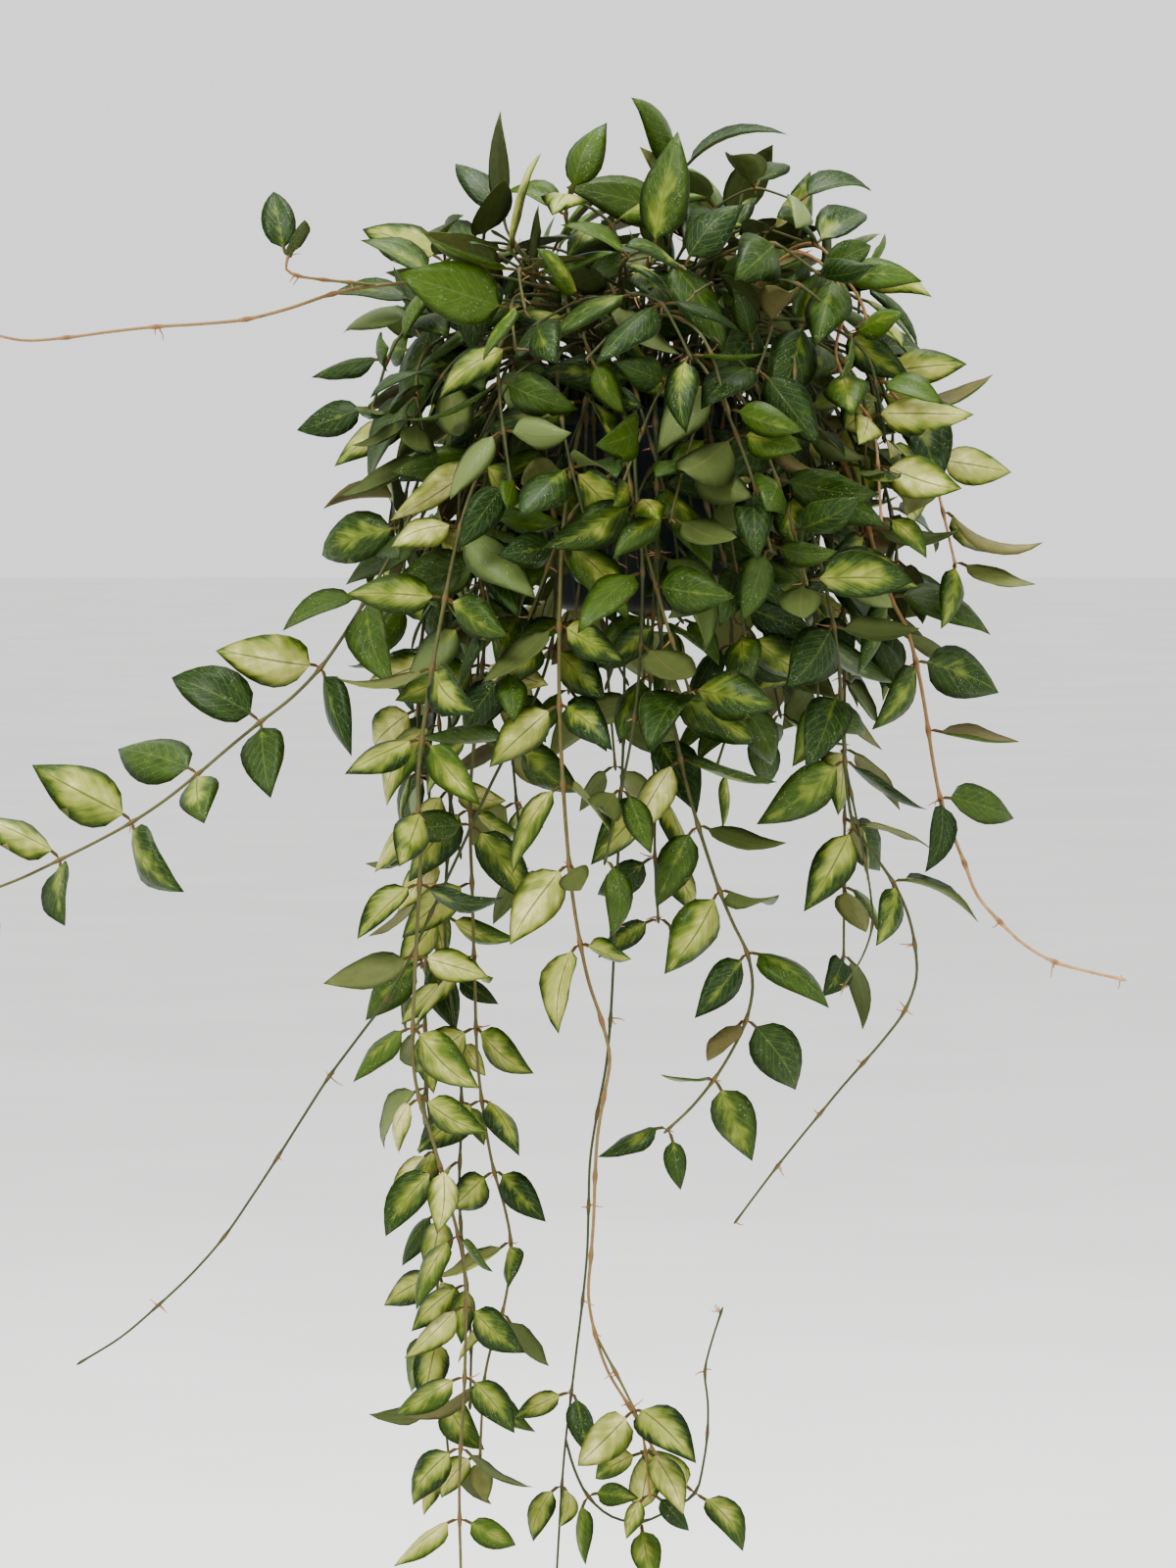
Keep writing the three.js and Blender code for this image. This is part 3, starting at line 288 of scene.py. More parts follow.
def grow_axes(vine):
    """Stem axes of a vine, the foot first. Every second point, counted from the tip, is a node."""
    route = [vec(*p) for p in vine["route"]]
    start = [polar(vine["root"], vine["rim"], MEDIUM_TOP + MEDIUM_CROWN + 1),
             polar(vine["root"] + 3, vine["rim"], STEM_FROM_RIM)]
    if route[0][2] < 0:
        start.append(polar(POT_RIM_RADIUS + 6, vine["rim"], STEM_FROM_RIM + 9))
    foot = polar(vine["root"], vine["rim"], MEDIUM_TOP - STEM_DEPTH)
    trunk = {"points": [foot, *walk_route(start + route, vine["gap"] / 2)], "girth": vine["girth"],
             "leafy": vine["leafy"], "ground": True}
    axes = [trunk]
    for branch in vine["branches"]:
        at = math.floor(branch["from"] * (len(trunk["points"]) - 1) + 0.5)
        route = [trunk["points"][at], *(vec(*p) for p in branch["route"])]
        axes.append({"points": walk_route(route, branch["gap"] / 2), "girth": branch["girth"],
                     "leafy": branch["leafy"], "ground": False})
    return axes


def is_node(axis, i):
    return (len(axis["points"]) - 1 - i) % 2 == 0 and i > (2 if axis["ground"] else 0)


def is_leafy(axis, i):
    share = i / (len(axis["points"]) - 1)
    return is_node(axis, i) and axis["leafy"][0] <= share <= axis["leafy"][1]


def plain_radius(axis, share):
    return axis["girth"][0] + (axis["girth"][1] - axis["girth"][0]) * share


def stem_radius(axis, i):
    return plain_radius(axis, i / (len(axis["points"]) - 1)) * (NODE_SWELL if is_node(axis, i) else 1)


def tangent_at(axis, i):
    if axis["ground"] and i < 2:
        return vec(0, 0, 1)
    points = axis["points"]
    return unit(points[min(i + 1, len(points) - 1)] - points[max(i - 1, 0)])


def facing(p):
    """Leaves face outwards, upwards and, but for the back ones, to the light in front."""
    r = math.sqrt(p[0] * p[0] + p[1] * p[1]) + 1
    ahead = 0.5 * (1 - max(0, p[1] / r))
    high = max(0, min(1, p[2] / 130))
    return unit(vec(0.75 * p[0] / r, 0.9 * p[1] / r - ahead, 0.15 + 0.9 * high))


def across_stem(axis, i):
    way = tangent_at(axis, i)
    flat = unit(cross(way, facing(axis["points"][i])))
    return way, flat, cross(flat, way)


# Leaves. Thick, waxy, pointed blades on short petioles, in opposite pairs: green, or green-edged round
# a yellow to cream heart. Each blade bows along its midrib and curls down at its margins. A leaf that
# would cross what grows there already turns further or stays shorter, and none grows into the pot.
PETIOLE = 4.5
PETIOLE_OFF = 3.2
PETIOLE_CLEAR = 3
BLADE_THICK = 1.3
EDGE_OUT = 1.07
EDGE_SINK = 0.4
FIRST_SECTION = 0.26
FACE_CLEAR = 2
FACE_LEAN = 0.15
STEM_FREE = 12
CLEARANCE = 0.3
LEAF_TRIES = 26
LOOSER = 0.12
SMALLER = 0.018
SMALLEST = 0.62
TIP_SHARE = 0.84
LEVEL_WEIGHT = (-0.5, 0.4)
HANGING_WEIGHT = (0.35, 1.5)
FULLY_HANGING = 0.75
UPRIGHT_SHARE = 0.2
LEAF_FORWARD = (0.05, 0.3)
LEAF_LIFT = (0.05, 0.7)
LENGTH_SPREAD = (0.86, 1.14)
SLENDER = (1.65, 2.2)
DROOP = (0.35, 1.25)
CUP = (0.4, 0.9)
MISSING = 0.135
TURNED_OVER = 0.07
OUTLINE_BASE = 0.62
OUTLINE_TIP = 1.15
OUTLINE_PEAK = OUTLINE_BASE / (OUTLINE_BASE + OUTLINE_TIP)
OUTLINE_TOP = OUTLINE_PEAK ** OUTLINE_BASE * (1 - OUTLINE_PEAK) ** OUTLINE_TIP
STEM, STALK, BLADE = 0, 1, 2
MOST_BOXES = 12000


def blade_points(leaf, t, s, depth):
    """Points of a blade at t along it and s across it, a depth below its upper face."""
    bend = leaf["droop"] * t
    along = leaf["length"] * np.sin(bend) / leaf["droop"]
    fall = leaf["length"] * (1 - np.cos(bend)) / leaf["droop"]
    half = leaf["width"] / 2 * np.where((t > 0) & (t < 1), t ** OUTLINE_BASE * (1 - t) ** OUTLINE_TIP, 0)
    half = half / OUTLINE_TOP
    across = half * np.sin(leaf["cup"] * s) / leaf["cup"]
    sink = half * (1 - np.cos(leaf["cup"] * s)) / leaf["cup"] + depth
    face = np.outer(np.cos(bend), leaf["up"]) + np.outer(np.sin(bend), leaf["out"])
    return (leaf["base"] + np.outer(along, leaf["out"]) - np.outer(fall, leaf["up"])
            + np.outer(across, leaf["side"]) - face * sink[:, None])


def box_round(points, lengthways, crossways, clear):
    x = unit(lengthways)
    z = unit(cross(x, crossways))
    axes = np.array((x, cross(z, x), z))
    reach = points @ axes.T
    low, high = reach.min(0) - clear, reach.max(0) + clear
    return {"axes": axes, "centre": (low + high) / 2 @ axes, "half": (high - low) / 2}


def stem_boxes(axis):
    boxes = []
    for i in range(len(axis["points"]) - 1):
        a, b = axis["points"][i], axis["points"][i + 1]
        way = unit(b - a)
        aside = vec(1, 0, 0) if abs(way[2]) > 0.9 else vec(0, 0, 1)
        thick = max(stem_radius(axis, i), stem_radius(axis, i + 1))
        boxes.append(box_round(np.array((a, b)), way, aside, thick))
    return boxes


SPAN_T = np.array([(0, 0.15, 0.3), (0.3, 0.45, 0.62), (0.62, 0.8, 1)])


def leaf_boxes(leaf, clear):
    boxes = [box_round(np.array((leaf["node"], leaf["base"])), leaf["out"], leaf["side"], PETIOLE_CLEAR)]
    for span in SPAN_T:
        t = np.repeat(span, 6)
        s = np.tile((-1, -1, 0, 0, 1, 1), 3)
        points = blade_points(leaf, t, s, np.tile((0, BLADE_THICK), 9))
        boxes.append(box_round(points, (points[14] - points[2]), leaf["side"], clear))
    return boxes


class Taken:
    """What has grown so far, as boxes, asked whether a new box meets any of them."""

    def __init__(self):
        self.count = 0
        self.axes = np.zeros((MOST_BOXES, 3, 3))
        self.centre = np.zeros((MOST_BOXES, 3))
        self.half = np.zeros((MOST_BOXES, 3))
        self.reach = np.zeros(MOST_BOXES)
        self.vine, self.kind, self.node = np.zeros((3, MOST_BOXES), int)

    def add(self, box, vine, kind, node):
        n = self.count
        self.axes[n], self.centre[n], self.half[n] = box["axes"], box["centre"], box["half"]
        self.reach[n] = size(box["half"])
        self.vine[n], self.kind[n], self.node[n] = vine, kind, node
        self.count += 1

    def meets(self, box, passed=None):
        n = self.count
        apart = self.centre[:n] - box["centre"]
        near = (apart * apart).sum(1) <= (self.reach[:n] + size(box["half"])) ** 2
        if passed is not None:
            near &= ~passed
        near = np.flatnonzero(near)
        if not len(near):
            return False
        mine, half = box["half"], self.half[near]
        turn = np.einsum("ik,njk->nij", box["axes"], self.axes[near])
        away = apart[near] @ box["axes"].T
        flat = np.abs(turn)
        gap = (np.abs(away) > mine + np.einsum("nij,nj->ni", flat, half)).any(1)
        theirs = half + np.einsum("i,nij->nj", mine, flat)
        gap |= (np.abs(np.einsum("ni,nij->nj", away, turn)) > theirs).any(1)
        if gap.all():
            return False
        turn, away, flat, half = turn[~gap], away[~gap], flat[~gap], half[~gap]
        nxt, last = [1, 2, 0], [2, 0, 1]
        far = np.abs(away[:, last, None] * turn[:, nxt] - away[:, nxt, None] * turn[:, last])
        reach = mine[nxt][:, None] * flat[:, last] + mine[last][:, None] * flat[:, nxt]
        reach = reach + half[:, None, nxt] * flat[:, :, last] + half[:, None, last] * flat[:, :, nxt]
        gap = (far > reach) & (turn * turn < 0.999999999999)
        return not gap.any((1, 2)).all()


def keeps_off_pot(leaf):
    t = np.repeat((0, 0.25, 0.5, 0.75, 1), 3)
    p = blade_points(leaf, t, np.tile((-1, 0, 1), 5), np.zeros(15))
    share = np.clip(-p[:, 2] / POT_HEIGHT, 0, 1)
    wall = POT_RIM_RADIUS + (POT_BASE_RADIUS - POT_RIM_RADIUS) * share
    reach = np.where(p[:, 2] > -RIM_HEIGHT - 6, LUG_REACH + 1, wall + 4)
    inside = np.sqrt(p[:, 0] ** 2 + p[:, 1] ** 2) < reach
    return not (inside & (p[:, 2] <= 4) & (p[:, 2] >= -POT_HEIGHT - 3)).any()


def stands_clear(leaf):
    """A leaf leaves its side of the stem without leaning back over it."""
    way, flat, lift = across_stem(leaf["axis"], leaf["i"])
    face_way = lift * math.cos(math.pi / 3) + flat * (leaf["hand"] * math.sin(math.pi / 3))
    both_edges = np.array((EDGE_OUT, -EDGE_OUT))
    edges = blade_points(leaf, np.full(2, FIRST_SECTION), both_edges, np.full(2, EDGE_SINK))
    corners = edges - leaf["node"]
    return (corners @ face_way > FACE_CLEAR + FACE_LEAN * np.abs(corners @ way)).all()


def shape_leaf(vine, axis, i, hand, attempt, draw, scale):
    """One leaf of a pair: hand is 1 or -1 for the two sides of the stem."""
    node = axis["points"][i]
    way, flat, lift = across_stem(axis, i)
    loose = 1 + attempt * LOOSER
    spin = max(-0.35, min(0.95, draw(-0.3, 0.65) * loose))
    pair = flat * (hand * math.cos(spin)) + lift * math.sin(spin)
    tip = i == len(axis["points"]) - 1
    upright = way[2] > 0.6
    ahead = (draw(0.2, 0.4) if tip else 0) + (1.2 if tip and upright else 0)
    forward = draw(*LEAF_FORWARD) + ahead
    hang = max(0, min(1, -way[2] / FULLY_HANGING))
    weight = draw(*(a * (1 - hang) + b * hang for a, b in zip(LEVEL_WEIGHT, HANGING_WEIGHT)))
    weight = weight * (UPRIGHT_SHARE if upright else 1) - vine.get("reach_up", 0)
    out = unit(pair + way * forward + lift * (draw(*LEAF_LIFT) * loose) - vec(0, 0, weight))
    turned = 2.4 if draw(0, 1) < TURNED_OVER else 0
    roll = draw(-0.6, 0.6) * loose + turned * hand
    sky = facing(node) + vec(0, 0, 0.4)
    level = unit(cross(sky, out))
    up = cross(out, level) * math.cos(roll) + level * math.sin(roll)
    shrink = max(SMALLEST, 1 - attempt * SMALLER) * (TIP_SHARE if tip and not upright else 1)
    plain = vine["leaf"][0] + (vine["leaf"][1] - vine["leaf"][0]) * (i / (len(axis["points"]) - 1))
    length = plain * draw(*LENGTH_SPREAD) * shrink * scale
    return {"node": node, "base": node + pair * PETIOLE_OFF + out * PETIOLE, "pair": pair, "out": out,
            "side": cross(up, out), "up": up, "length": length, "width": length / draw(*SLENDER),
            "droop": draw(*DROOP), "cup": draw(*CUP), "axis": axis, "i": i, "hand": hand}


def turn_round(p, degrees):
    c, s = math.cos(math.radians(degrees)), math.sin(math.radians(degrees))
    return vec(p[0] * c - p[1] * s, p[0] * s + p[1] * c, p[2])


def grow_stems(vine, number, taken):
    """A stem turns round the pot, a little at a time, until it clears those before it."""
    axes = grow_axes(vine)
    for i in range(25):
        nudge = math.ceil(i / 2) * 4 * (-1 if i % 2 == 0 else 1)
        vine["axes"] = [{**axis, "points": [turn_round(p, nudge) for p in axis["points"]]} for axis in axes]
        boxes = [box for axis in vine["axes"] for box in stem_boxes(axis)]
        if not any(taken.meets(box) for box in boxes):
            break
    for box in boxes:
        taken.add(box, number, STEM, -1)


def grow_leaves(vines, first, taken, draw, missing, clear, scale, tries):
    """Leaves grow pair by pair from each tip inwards, where none has grown yet."""
    for number, vine in enumerate(vines, first):
        grown = vine.setdefault("leaves", {})
        for a, axis in enumerate(vine["axes"]):
            for i in range(len(axis["points"]) - 1, 0, -1):
                if not is_leafy(axis, i):
                    continue
                for hand in (1, -1):
                    if (a, i, hand) not in grown and draw(0, 1) >= missing:
                        leaf = grow_leaf(vine, number, a, i, hand, draw, taken, clear, scale, tries)
                        if leaf:
                            grown[a, i, hand] = leaf


def grow_leaf(vine, number, a, i, hand, draw, taken, clear, scale, tries):
    n = taken.count
    axis = vine["axes"][a]
    spot = number * 1000 + a * 100 + i
    own = taken.vine[:n] == number
    close = np.sqrt(((taken.centre[:n] - axis["points"][i]) ** 2).sum(1)) < STEM_FREE
    own_stem = own & (taken.kind[:n] == STEM) & close
    partner = own & (taken.kind[:n] == STALK) & (taken.node[:n] == spot)
    passed = (own, own_stem | partner, partner, partner)
    for attempt in range(tries):
        leaf = shape_leaf(vine, axis, i, hand, attempt, draw, scale)
        if not keeps_off_pot(leaf) or not stands_clear(leaf):
            continue
        boxes = leaf_boxes(leaf, clear)
        if any(taken.meets(box, skip) for box, skip in zip(boxes, passed)):
            continue
        for k, box in enumerate(boxes):
            taken.add(box, number, STALK if k == 0 else BLADE, spot)
        return leaf
    return None


taken = Taken()
vines = [*NAMED_VINES, *skirt_vines("short_vine", 2207, SKIRT_VINES, 14, (104, 132), (150, 320)),
         *crown_vines("crown_shoot", 4501, CROWN_SHOOTS, 20, 1)]
for number, vine in enumerate(vines):
    grow_stems(vine, number, taken)
grow_leaves(vines, 0, taken, make_draws(9178), MISSING, CLEARANCE, 1, LEAF_TRIES)

# Inner shoots. Shorter shoots that fill the heart of the mound between the pot's rim and the
# outer shell, their leaves darker with less yellow, partly the plant's own colour and partly painted shade
# deep in the mound; upright tufts at its top, and two strands that thicken the left column; and late
# leaves, smaller ones that squeeze in wherever a node was left bare.
INNER_SHOOTS = 30
INNER_SHELL = 0.74
MIDDLE_SHOOTS = 24
MIDDLE_SHELL = 0.96
MIDDLE_LEAF = (76, 62)
CLOSE_SHOOTS = 18
RIM_SHOOTS = 20
COLUMN_STRANDS = [
    {"name": "column_strand_left", "rim": 233, "root": 44, "girth": (1.8, 1.2), "gap": 36,
     "leafy": (0.3, 1), "leaf": (50, 40), "light": 0.75,
     "route": [(-60, -92, -44), (-70, -104, -130), (-66, -110, -215), (-60, -110, -300),
                (-63, -108, -380), (-55, -104, -450), (-60, -102, -520), (-52, -100, -600)],
     "branches": []},
    {"name": "column_strand_right", "rim": 241, "root": 42, "girth": (1.8, 1.2), "gap": 35,
     "leafy": (0.28, 1), "leaf": (48, 36), "light": 0.8,
     "route": [(-36, -98, -44), (-42, -108, -130), (-34, -114, -215), (-39, -114, -300),
                (-30, -110, -380), (-36, -106, -450), (-29, -104, -520), (-34, -100, -565)],
     "branches": []}]
TUFT_ROUTES = {
    188: [(-52, -22, 62), (-74, -26, 82), (-94, -28, 90)],
    206: [(-44, -36, 72), (-60, -46, 96), (-64, -48, 108)],
    228: [(-28, -50, 68), (-36, -64, 90), (-46, -70, 98)],
    252: [(-8, -42, 78), (-6, -52, 106), (0, -54, 122)],
    284: [(22, -44, 82), (30, -52, 106), (34, -52, 118)],
    312: [(46, -38, 74), (62, -44, 94), (74, -46, 100)],
    20: [(44, 26, 76), (58, 36, 98), (66, 40, 106)],
    75: [(12, 46, 80), (16, 56, 104), (22, 60, 114)],
    130: [(-32, 44, 76), (-42, 54, 98), (-50, 60, 106)]}
tufts = [{"name": f"tuft_{turn:03d}", "rim": turn, "root": 24, "girth": (1.8, 1.3), "gap": 16,
          "leafy": (0.25, 1), "light": 0.5, "route": route, "branches": []}
         for turn, route in TUFT_ROUTES.items()]
inner_shoots = [*tufts, *crown_vines("middle_shoot", 4409, MIDDLE_SHOOTS, 24, MIDDLE_SHELL),
                *crown_vines("inner_shoot", 6607, INNER_SHOOTS, 77, INNER_SHELL),
                *skirt_vines("close_shoot", 5150, CLOSE_SHOOTS, 15, (78, 84), (62, 110)),
                *skirt_vines("rim_shoot", 8081, RIM_SHOOTS, 3, (88, 100), (95, 185))]
for vine in inner_shoots:
    # Painted shade, in part: these shoots' leaves carry less yellow, so the inside of the mound reads
    # darker.
    vine["light"] *= 0.45
    vine["reach_up"] = 0.45
    if vine["name"].startswith(("tuft", "middle_shoot")):
        vine["leaf"] = MIDDLE_LEAF
        vine["reach_up"] = 0.9
inner_shoots += COLUMN_STRANDS
for number, vine in enumerate(inner_shoots, len(vines)):
    grow_stems(vine, number, taken)
grow_leaves(inner_shoots, len(vines), taken, make_draws(3113), 0.05, -0.6, 0.95, 14)
for vine in vines:
    vine["reach_up"] = 0.4
grow_leaves(vines, 0, taken, make_draws(5231), 0.1, -0.6, 0.85, 12)
grow_leaves(inner_shoots, len(vines), taken, make_draws(7117), 0, -1.0, 0.7, 8)

# Leaf skin. Waxy, dark green above with a blue-grey sheen, faint side veins and a few pale flecks; on
# variegated leaves a yellow to cream heart feathers out along the veins towards a green edge; dull
# olive-brown below. along and ring run from petiole to tip and round the edge, as the mesh has them.


class Wire:
    """What comes out of a node. Sums and products of wires add Math nodes, or Vector Math for vectors."""

    def __init__(self, tree, node, socket):
        self.tree = tree
        self.node = node
        self.socket = socket

    def other(self, name):
        socket = next(s for s in self.node.outputs if s.name == name and s.enabled)
        return Wire(self.tree, self.node, socket)

    def maths(self, operation, *values):
        vectors = [isinstance(v, Wire) and v.socket.type in ("VECTOR", "RGBA") for v in values]
        if not any(vectors):
            return self.tree.node("ShaderNodeMath", {"operation": operation}, dict(enumerate(values)))
        if operation == "MULTIPLY" and not all(vectors):
            vector, number = values if vectors[0] else values[::-1]
            return self.tree.node("ShaderNodeVectorMath", {"operation": "SCALE"},
                                  {0: vector, "Scale": number})
        return self.tree.node("ShaderNodeVectorMath", {"operation": operation}, dict(enumerate(values)))

    def __add__(self, other):
        return self.maths("ADD", self, other)

    def __radd__(self, other):
        return self.maths("ADD", other, self)

    def __sub__(self, other):
        return self.maths("SUBTRACT", self, other)

    def __rsub__(self, other):
        return self.maths("SUBTRACT", other, self)

    def __mul__(self, other):
        return self.maths("MULTIPLY", self, other)

    def __rmul__(self, other):
        return self.maths("MULTIPLY", other, self)

    def __truediv__(self, other):
        return self.maths("DIVIDE", self, other)

    def __pow__(self, other):
        return self.maths("POWER", self, other)

    def __gt__(self, other):
        return self.maths("GREATER_THAN", self, other)

    def __abs__(self):
        return self.maths("ABSOLUTE", self)

    def sin(self):
        return self.maths("SINE", self)

    def cos(self):
        return self.maths("COSINE", self)

    def fraction(self):
        return self.maths("FRACT", self)

    def rise(self, low, high):
        """0 up to low, 1 from high on, and a smooth rise between."""
        return self.tree.node("ShaderNodeMapRange", {"interpolation_type": "SMOOTHSTEP"},
                              {"Value": self, "From Min": low, "From Max": high})


class Tree:
    """A node tree being wired up."""

    def __init__(self, tree):
        self.tree = tree

    def node(self, kind, settings=None, sockets=None):
        """Adds a node: its settings first, then values or wires by socket. Gives its first output."""
        made = self.tree.nodes.new(kind)
        for name, value in (settings or {}).items():
            if name == "stops":
                ramp = made.color_ramp.elements
                while len(ramp) < len(value):
                    ramp.new(0.5)
                for stop, (place, colour) in zip(ramp, value):
                    stop.position, stop.color = place, (*colour, 1)
            else:
                setattr(made, name, value)
        for key, value in (sockets or {}).items():
            live = [s for s in made.inputs if s.enabled]
            into = made.inputs[key] if isinstance(key, int) else next(s for s in live if s.name == key)
            for one in value if isinstance(value, list) else [value]:
                if isinstance(one, Wire):
                    self.tree.links.new(one.socket, into)
                else:
                    into.default_value = (*one, 1) if into.type == "RGBA" else one
        live = [s for s in made.outputs if s.enabled]
        return Wire(self, made, live[0]) if live else None

    def mix(self, share, a, b):
        """Colour a where share is 0, colour b where it is 1."""
        return self.node("ShaderNodeMix", {"data_type": "RGBA", "clamp_factor": True},
                         {"Factor": share, "A": a, "B": b})

    def noise(self, place, scale, detail=2, rough=0.5):
        settings = {"noise_dimensions": "3D"}
        return self.node("ShaderNodeTexNoise", settings,
                         {"Vector": place, "Scale": scale, "Detail": detail, "Roughness": rough})

    def grain(self, name):
        """A number that each point of the piece carries."""
        return self.node("ShaderNodeAttribute", {"attribute_name": name}).other("Fac")


def new_finish(name, constants):
    """An empty material with its shader, and the settings that are the same all over."""
    material = bpy.data.materials.new(name)
    material.use_nodes = True
    material.node_tree.nodes.clear()
    tree = Tree(material.node_tree)
    shader = tree.node("ShaderNodeBsdfPrincipled", {}, constants)
    tree.node("ShaderNodeOutputMaterial", {}, {"Surface": shader})
    return material, tree, shader


def give(tree, shader, **looks):
    """Wires what varies over the surface to the shader."""
    for name, wire in looks.items():
        tree.tree.links.new(wire.socket, shader.node.inputs[name.replace("_", " ").title()])


PETIOLE_SHARE = 0.2
ROW_POWER = 1.2
DEEP_GREEN = (0.012, 0.033, 0.007)
MID_GREEN = (0.058, 0.105, 0.012)
GREY_GREEN = (0.17, 0.22, 0.08)
LIME = (0.14, 0.185, 0.03)
GOLD_GREEN = (0.32, 0.34, 0.09)
CREAM = (0.63, 0.59, 0.26)
UNDER_LEAF = (0.085, 0.115, 0.034)
BROWN_UNDER_LEAF = (0.13, 0.11, 0.045)
PETIOLE_OLIVE = (0.085, 0.065, 0.02)
leaf_skin, tree, shader = new_finish("waxy_leaf", {"Specular IOR Level": 0.2})
uv = tree.node("ShaderNodeUVMap", {"uv_map": "UVMap"})
u = tree.node("ShaderNodeSeparateXYZ", {}, {0: uv})
ring = u.other("Y")
share = (u - PETIOLE_SHARE) / (1 - PETIOLE_SHARE)
blade = share.rise(0, 0.001)
t = share.maths("MAXIMUM", share, 0) ** ROW_POWER
edge = abs(1 - abs(ring * 4 - 2))
under = ring.rise(0.5, 0.505)
gold = tree.grain("gold")
tint = tree.grain("tint")
pale = tree.grain("pale")
place = tree.node("ShaderNodeTexCoord").other("Object")
vein_way = t * 11 - edge * 4.2
along_veins = tree.node("ShaderNodeCombineXYZ", {}, {0: vein_way * 0.9, 1: edge, 2: tint * 40})
streaks = tree.noise(along_veins, 1, 3, 0.55)
veins = 1 - abs((vein_way * 0.72).fraction() * 2 - 1).rise(0.0, 0.22)
mottle = tree.noise(place, 160, 3)
blotch = tree.noise(place, 55, 2)
reach = gold * 1.55 - 0.25 - edge * 0.75 - (t ** 3) * 0.4 + (streaks - 0.5) * 0.8 + (blotch - 0.5) * 1.5
lime_heart = reach.rise(-0.2, 0.2)
gold_heart = reach.rise(0.05, 0.5)
cream_heart = (reach * 0.9 + (mottle - 0.5) * 0.9 + tint * 0.3).rise(0.55, 1.2)
green = tree.mix((tint * 0.8 + (mottle - 0.5) * 0.7).rise(0, 1), DEEP_GREEN, MID_GREEN)
green = tree.mix(pale, green, GREY_GREEN)
cells = tree.node("ShaderNodeCombineXYZ", {}, {0: vein_way * 0.72, 1: edge * 3, 2: tint * 40})
net = tree.node("ShaderNodeTexVoronoi", {"feature": "DISTANCE_TO_EDGE"}, {"Vector": cells, "Scale": 1.0})
green = tree.mix((1 - net.rise(0.01, 0.07)) * 0.2, green, (0.12, 0.165, 0.04))
green = tree.mix(veins * 0.34, green, (0.12, 0.165, 0.04))
midrib = 1 - edge.rise(0.015, 0.06)
green = tree.mix(midrib * 0.4, green, (0.12, 0.16, 0.04))
flecks = tree.noise(place, 1100, 1).rise(0.65, 0.71) * tree.noise(place, 90, 1).rise(0.45, 0.6)
green = tree.mix(flecks * 0.4, green, (0.42, 0.45, 0.32))
light = tree.mix(cream_heart, GOLD_GREEN, CREAM)
light = tree.mix(veins * 0.3, light, (0.24, 0.29, 0.04))
light = tree.mix(midrib * 0.75, light, (0.05, 0.085, 0.015))
top = tree.mix(gold_heart, tree.mix(lime_heart, green, LIME), light)
top = tree.mix(edge.rise(0.82, 0.95) * 0.35, top, (0.02, 0.035, 0.008))
# Painted highlight: a thin pale line along the rim of each leaf's upper face stands in for light catching
# the edge.
top = tree.mix(edge.rise(0.95, 1.0) * 0.5, top, (0.16, 0.19, 0.07))
below = tree.mix(tint.rise(0.7, 0.9), UNDER_LEAF, BROWN_UNDER_LEAF)
below = tree.mix(gold.rise(0.3, 0.9) * 0.6, below, (0.28, 0.28, 0.10))
below = tree.mix(mottle.rise(0.3, 0.8) * 0.35, below, (0.07, 0.075, 0.024))
below = tree.mix(midrib * 0.5, below, (0.16, 0.13, 0.05))
skin = tree.mix(blade, PETIOLE_OLIVE, tree.mix(under, top, below))
height = veins * 0.5 - midrib * 0.6 + tree.noise(place, 700, 2) * 0.5
bump = tree.node("ShaderNodeBump", {}, {"Strength": 0.35, "Distance": 0.0004, "Height": height})
give(tree, shader, base_color=skin, roughness=0.36 + mottle * 0.14 + under * 0.16, normal=bump)

# Vine skin. Smooth and olive where the stem is young, tan and lengthwise creased where it is old, with
# rust-brown swollen nodes. The short aerial roots at the nodes are pinkish tan and dry.
YOUNG_BARK = (0.045, 0.058, 0.016)
OLIVE_BARK = (0.105, 0.10, 0.032)
TAN_BARK = (0.27, 0.16, 0.065)
PEACH_BARK = (0.50, 0.31, 0.16)
RUST_NODE = (0.20, 0.085, 0.03)
ROOT_TAN = (0.40, 0.22, 0.13)
bark_skin, tree, shader = new_finish("vine_bark", {"Specular IOR Level": 0.4})
place = tree.node("ShaderNodeTexCoord").other("Object")
bark = tree.grain("bark")
swell = tree.grain("swell")
root = tree.grain("root")
mottle = tree.noise(place, 220, 4, 0.6)
creases = tree.noise(place, 900, 3, 0.65)
age = bark + (mottle - 0.5) * 0.5
skin = tree.mix(age.rise(0.05, 0.35), YOUNG_BARK, OLIVE_BARK)
skin = tree.mix(age.rise(0.35, 0.7), skin, TAN_BARK)
skin = tree.mix(age.rise(0.75, 1.05), skin, PEACH_BARK)
skin = tree.mix(creases.rise(0.5, 0.75) * 0.35, skin, (0.09, 0.07, 0.035))
skin = tree.mix(swell.rise(0.35, 0.95) * (0.3 + bark * 0.5), skin, RUST_NODE)
skin = tree.mix(root, skin, ROOT_TAN)
height = creases + mottle * 0.5
bump = tree.node("ShaderNodeBump", {}, {"Strength": 0.5, "Distance": 0.0004, "Height": height})
give(tree, shader, base_color=skin, roughness=0.5 + creases * 0.2 + root * 0.2, normal=bump)

# Grown vines. Each vine is one living piece: a tapering stem with swollen nodes and a soft bud at each
# tip, aerial roots, and leaves whose petioles run into the stem. It stays rooted in the medium.
LEAF_ROWS = 11
LEAF_RING = 9
PETIOLE_RADIUS = 0.00095
BLADE_RADIUS = 0.0006
BLADE_DEPTH = 0.0005
STEM_ROUND = 7
STEM_STEP = 5
STEM_SLIMMER = 0.64
NODE_BULGE = 0.7
NODE_REACH = 3
LEAF_VECTORS = ("node", "pair", "base", "out", "side", "up")
LEAF_NUMBERS = ("length", "width", "droop", "cup", "hook", "wave", "turn", "fold")
LEAF_TINTS = ("gold", "tint", "pale")
STEM_NUMBERS = ("girth", "swell", "bark", "root")


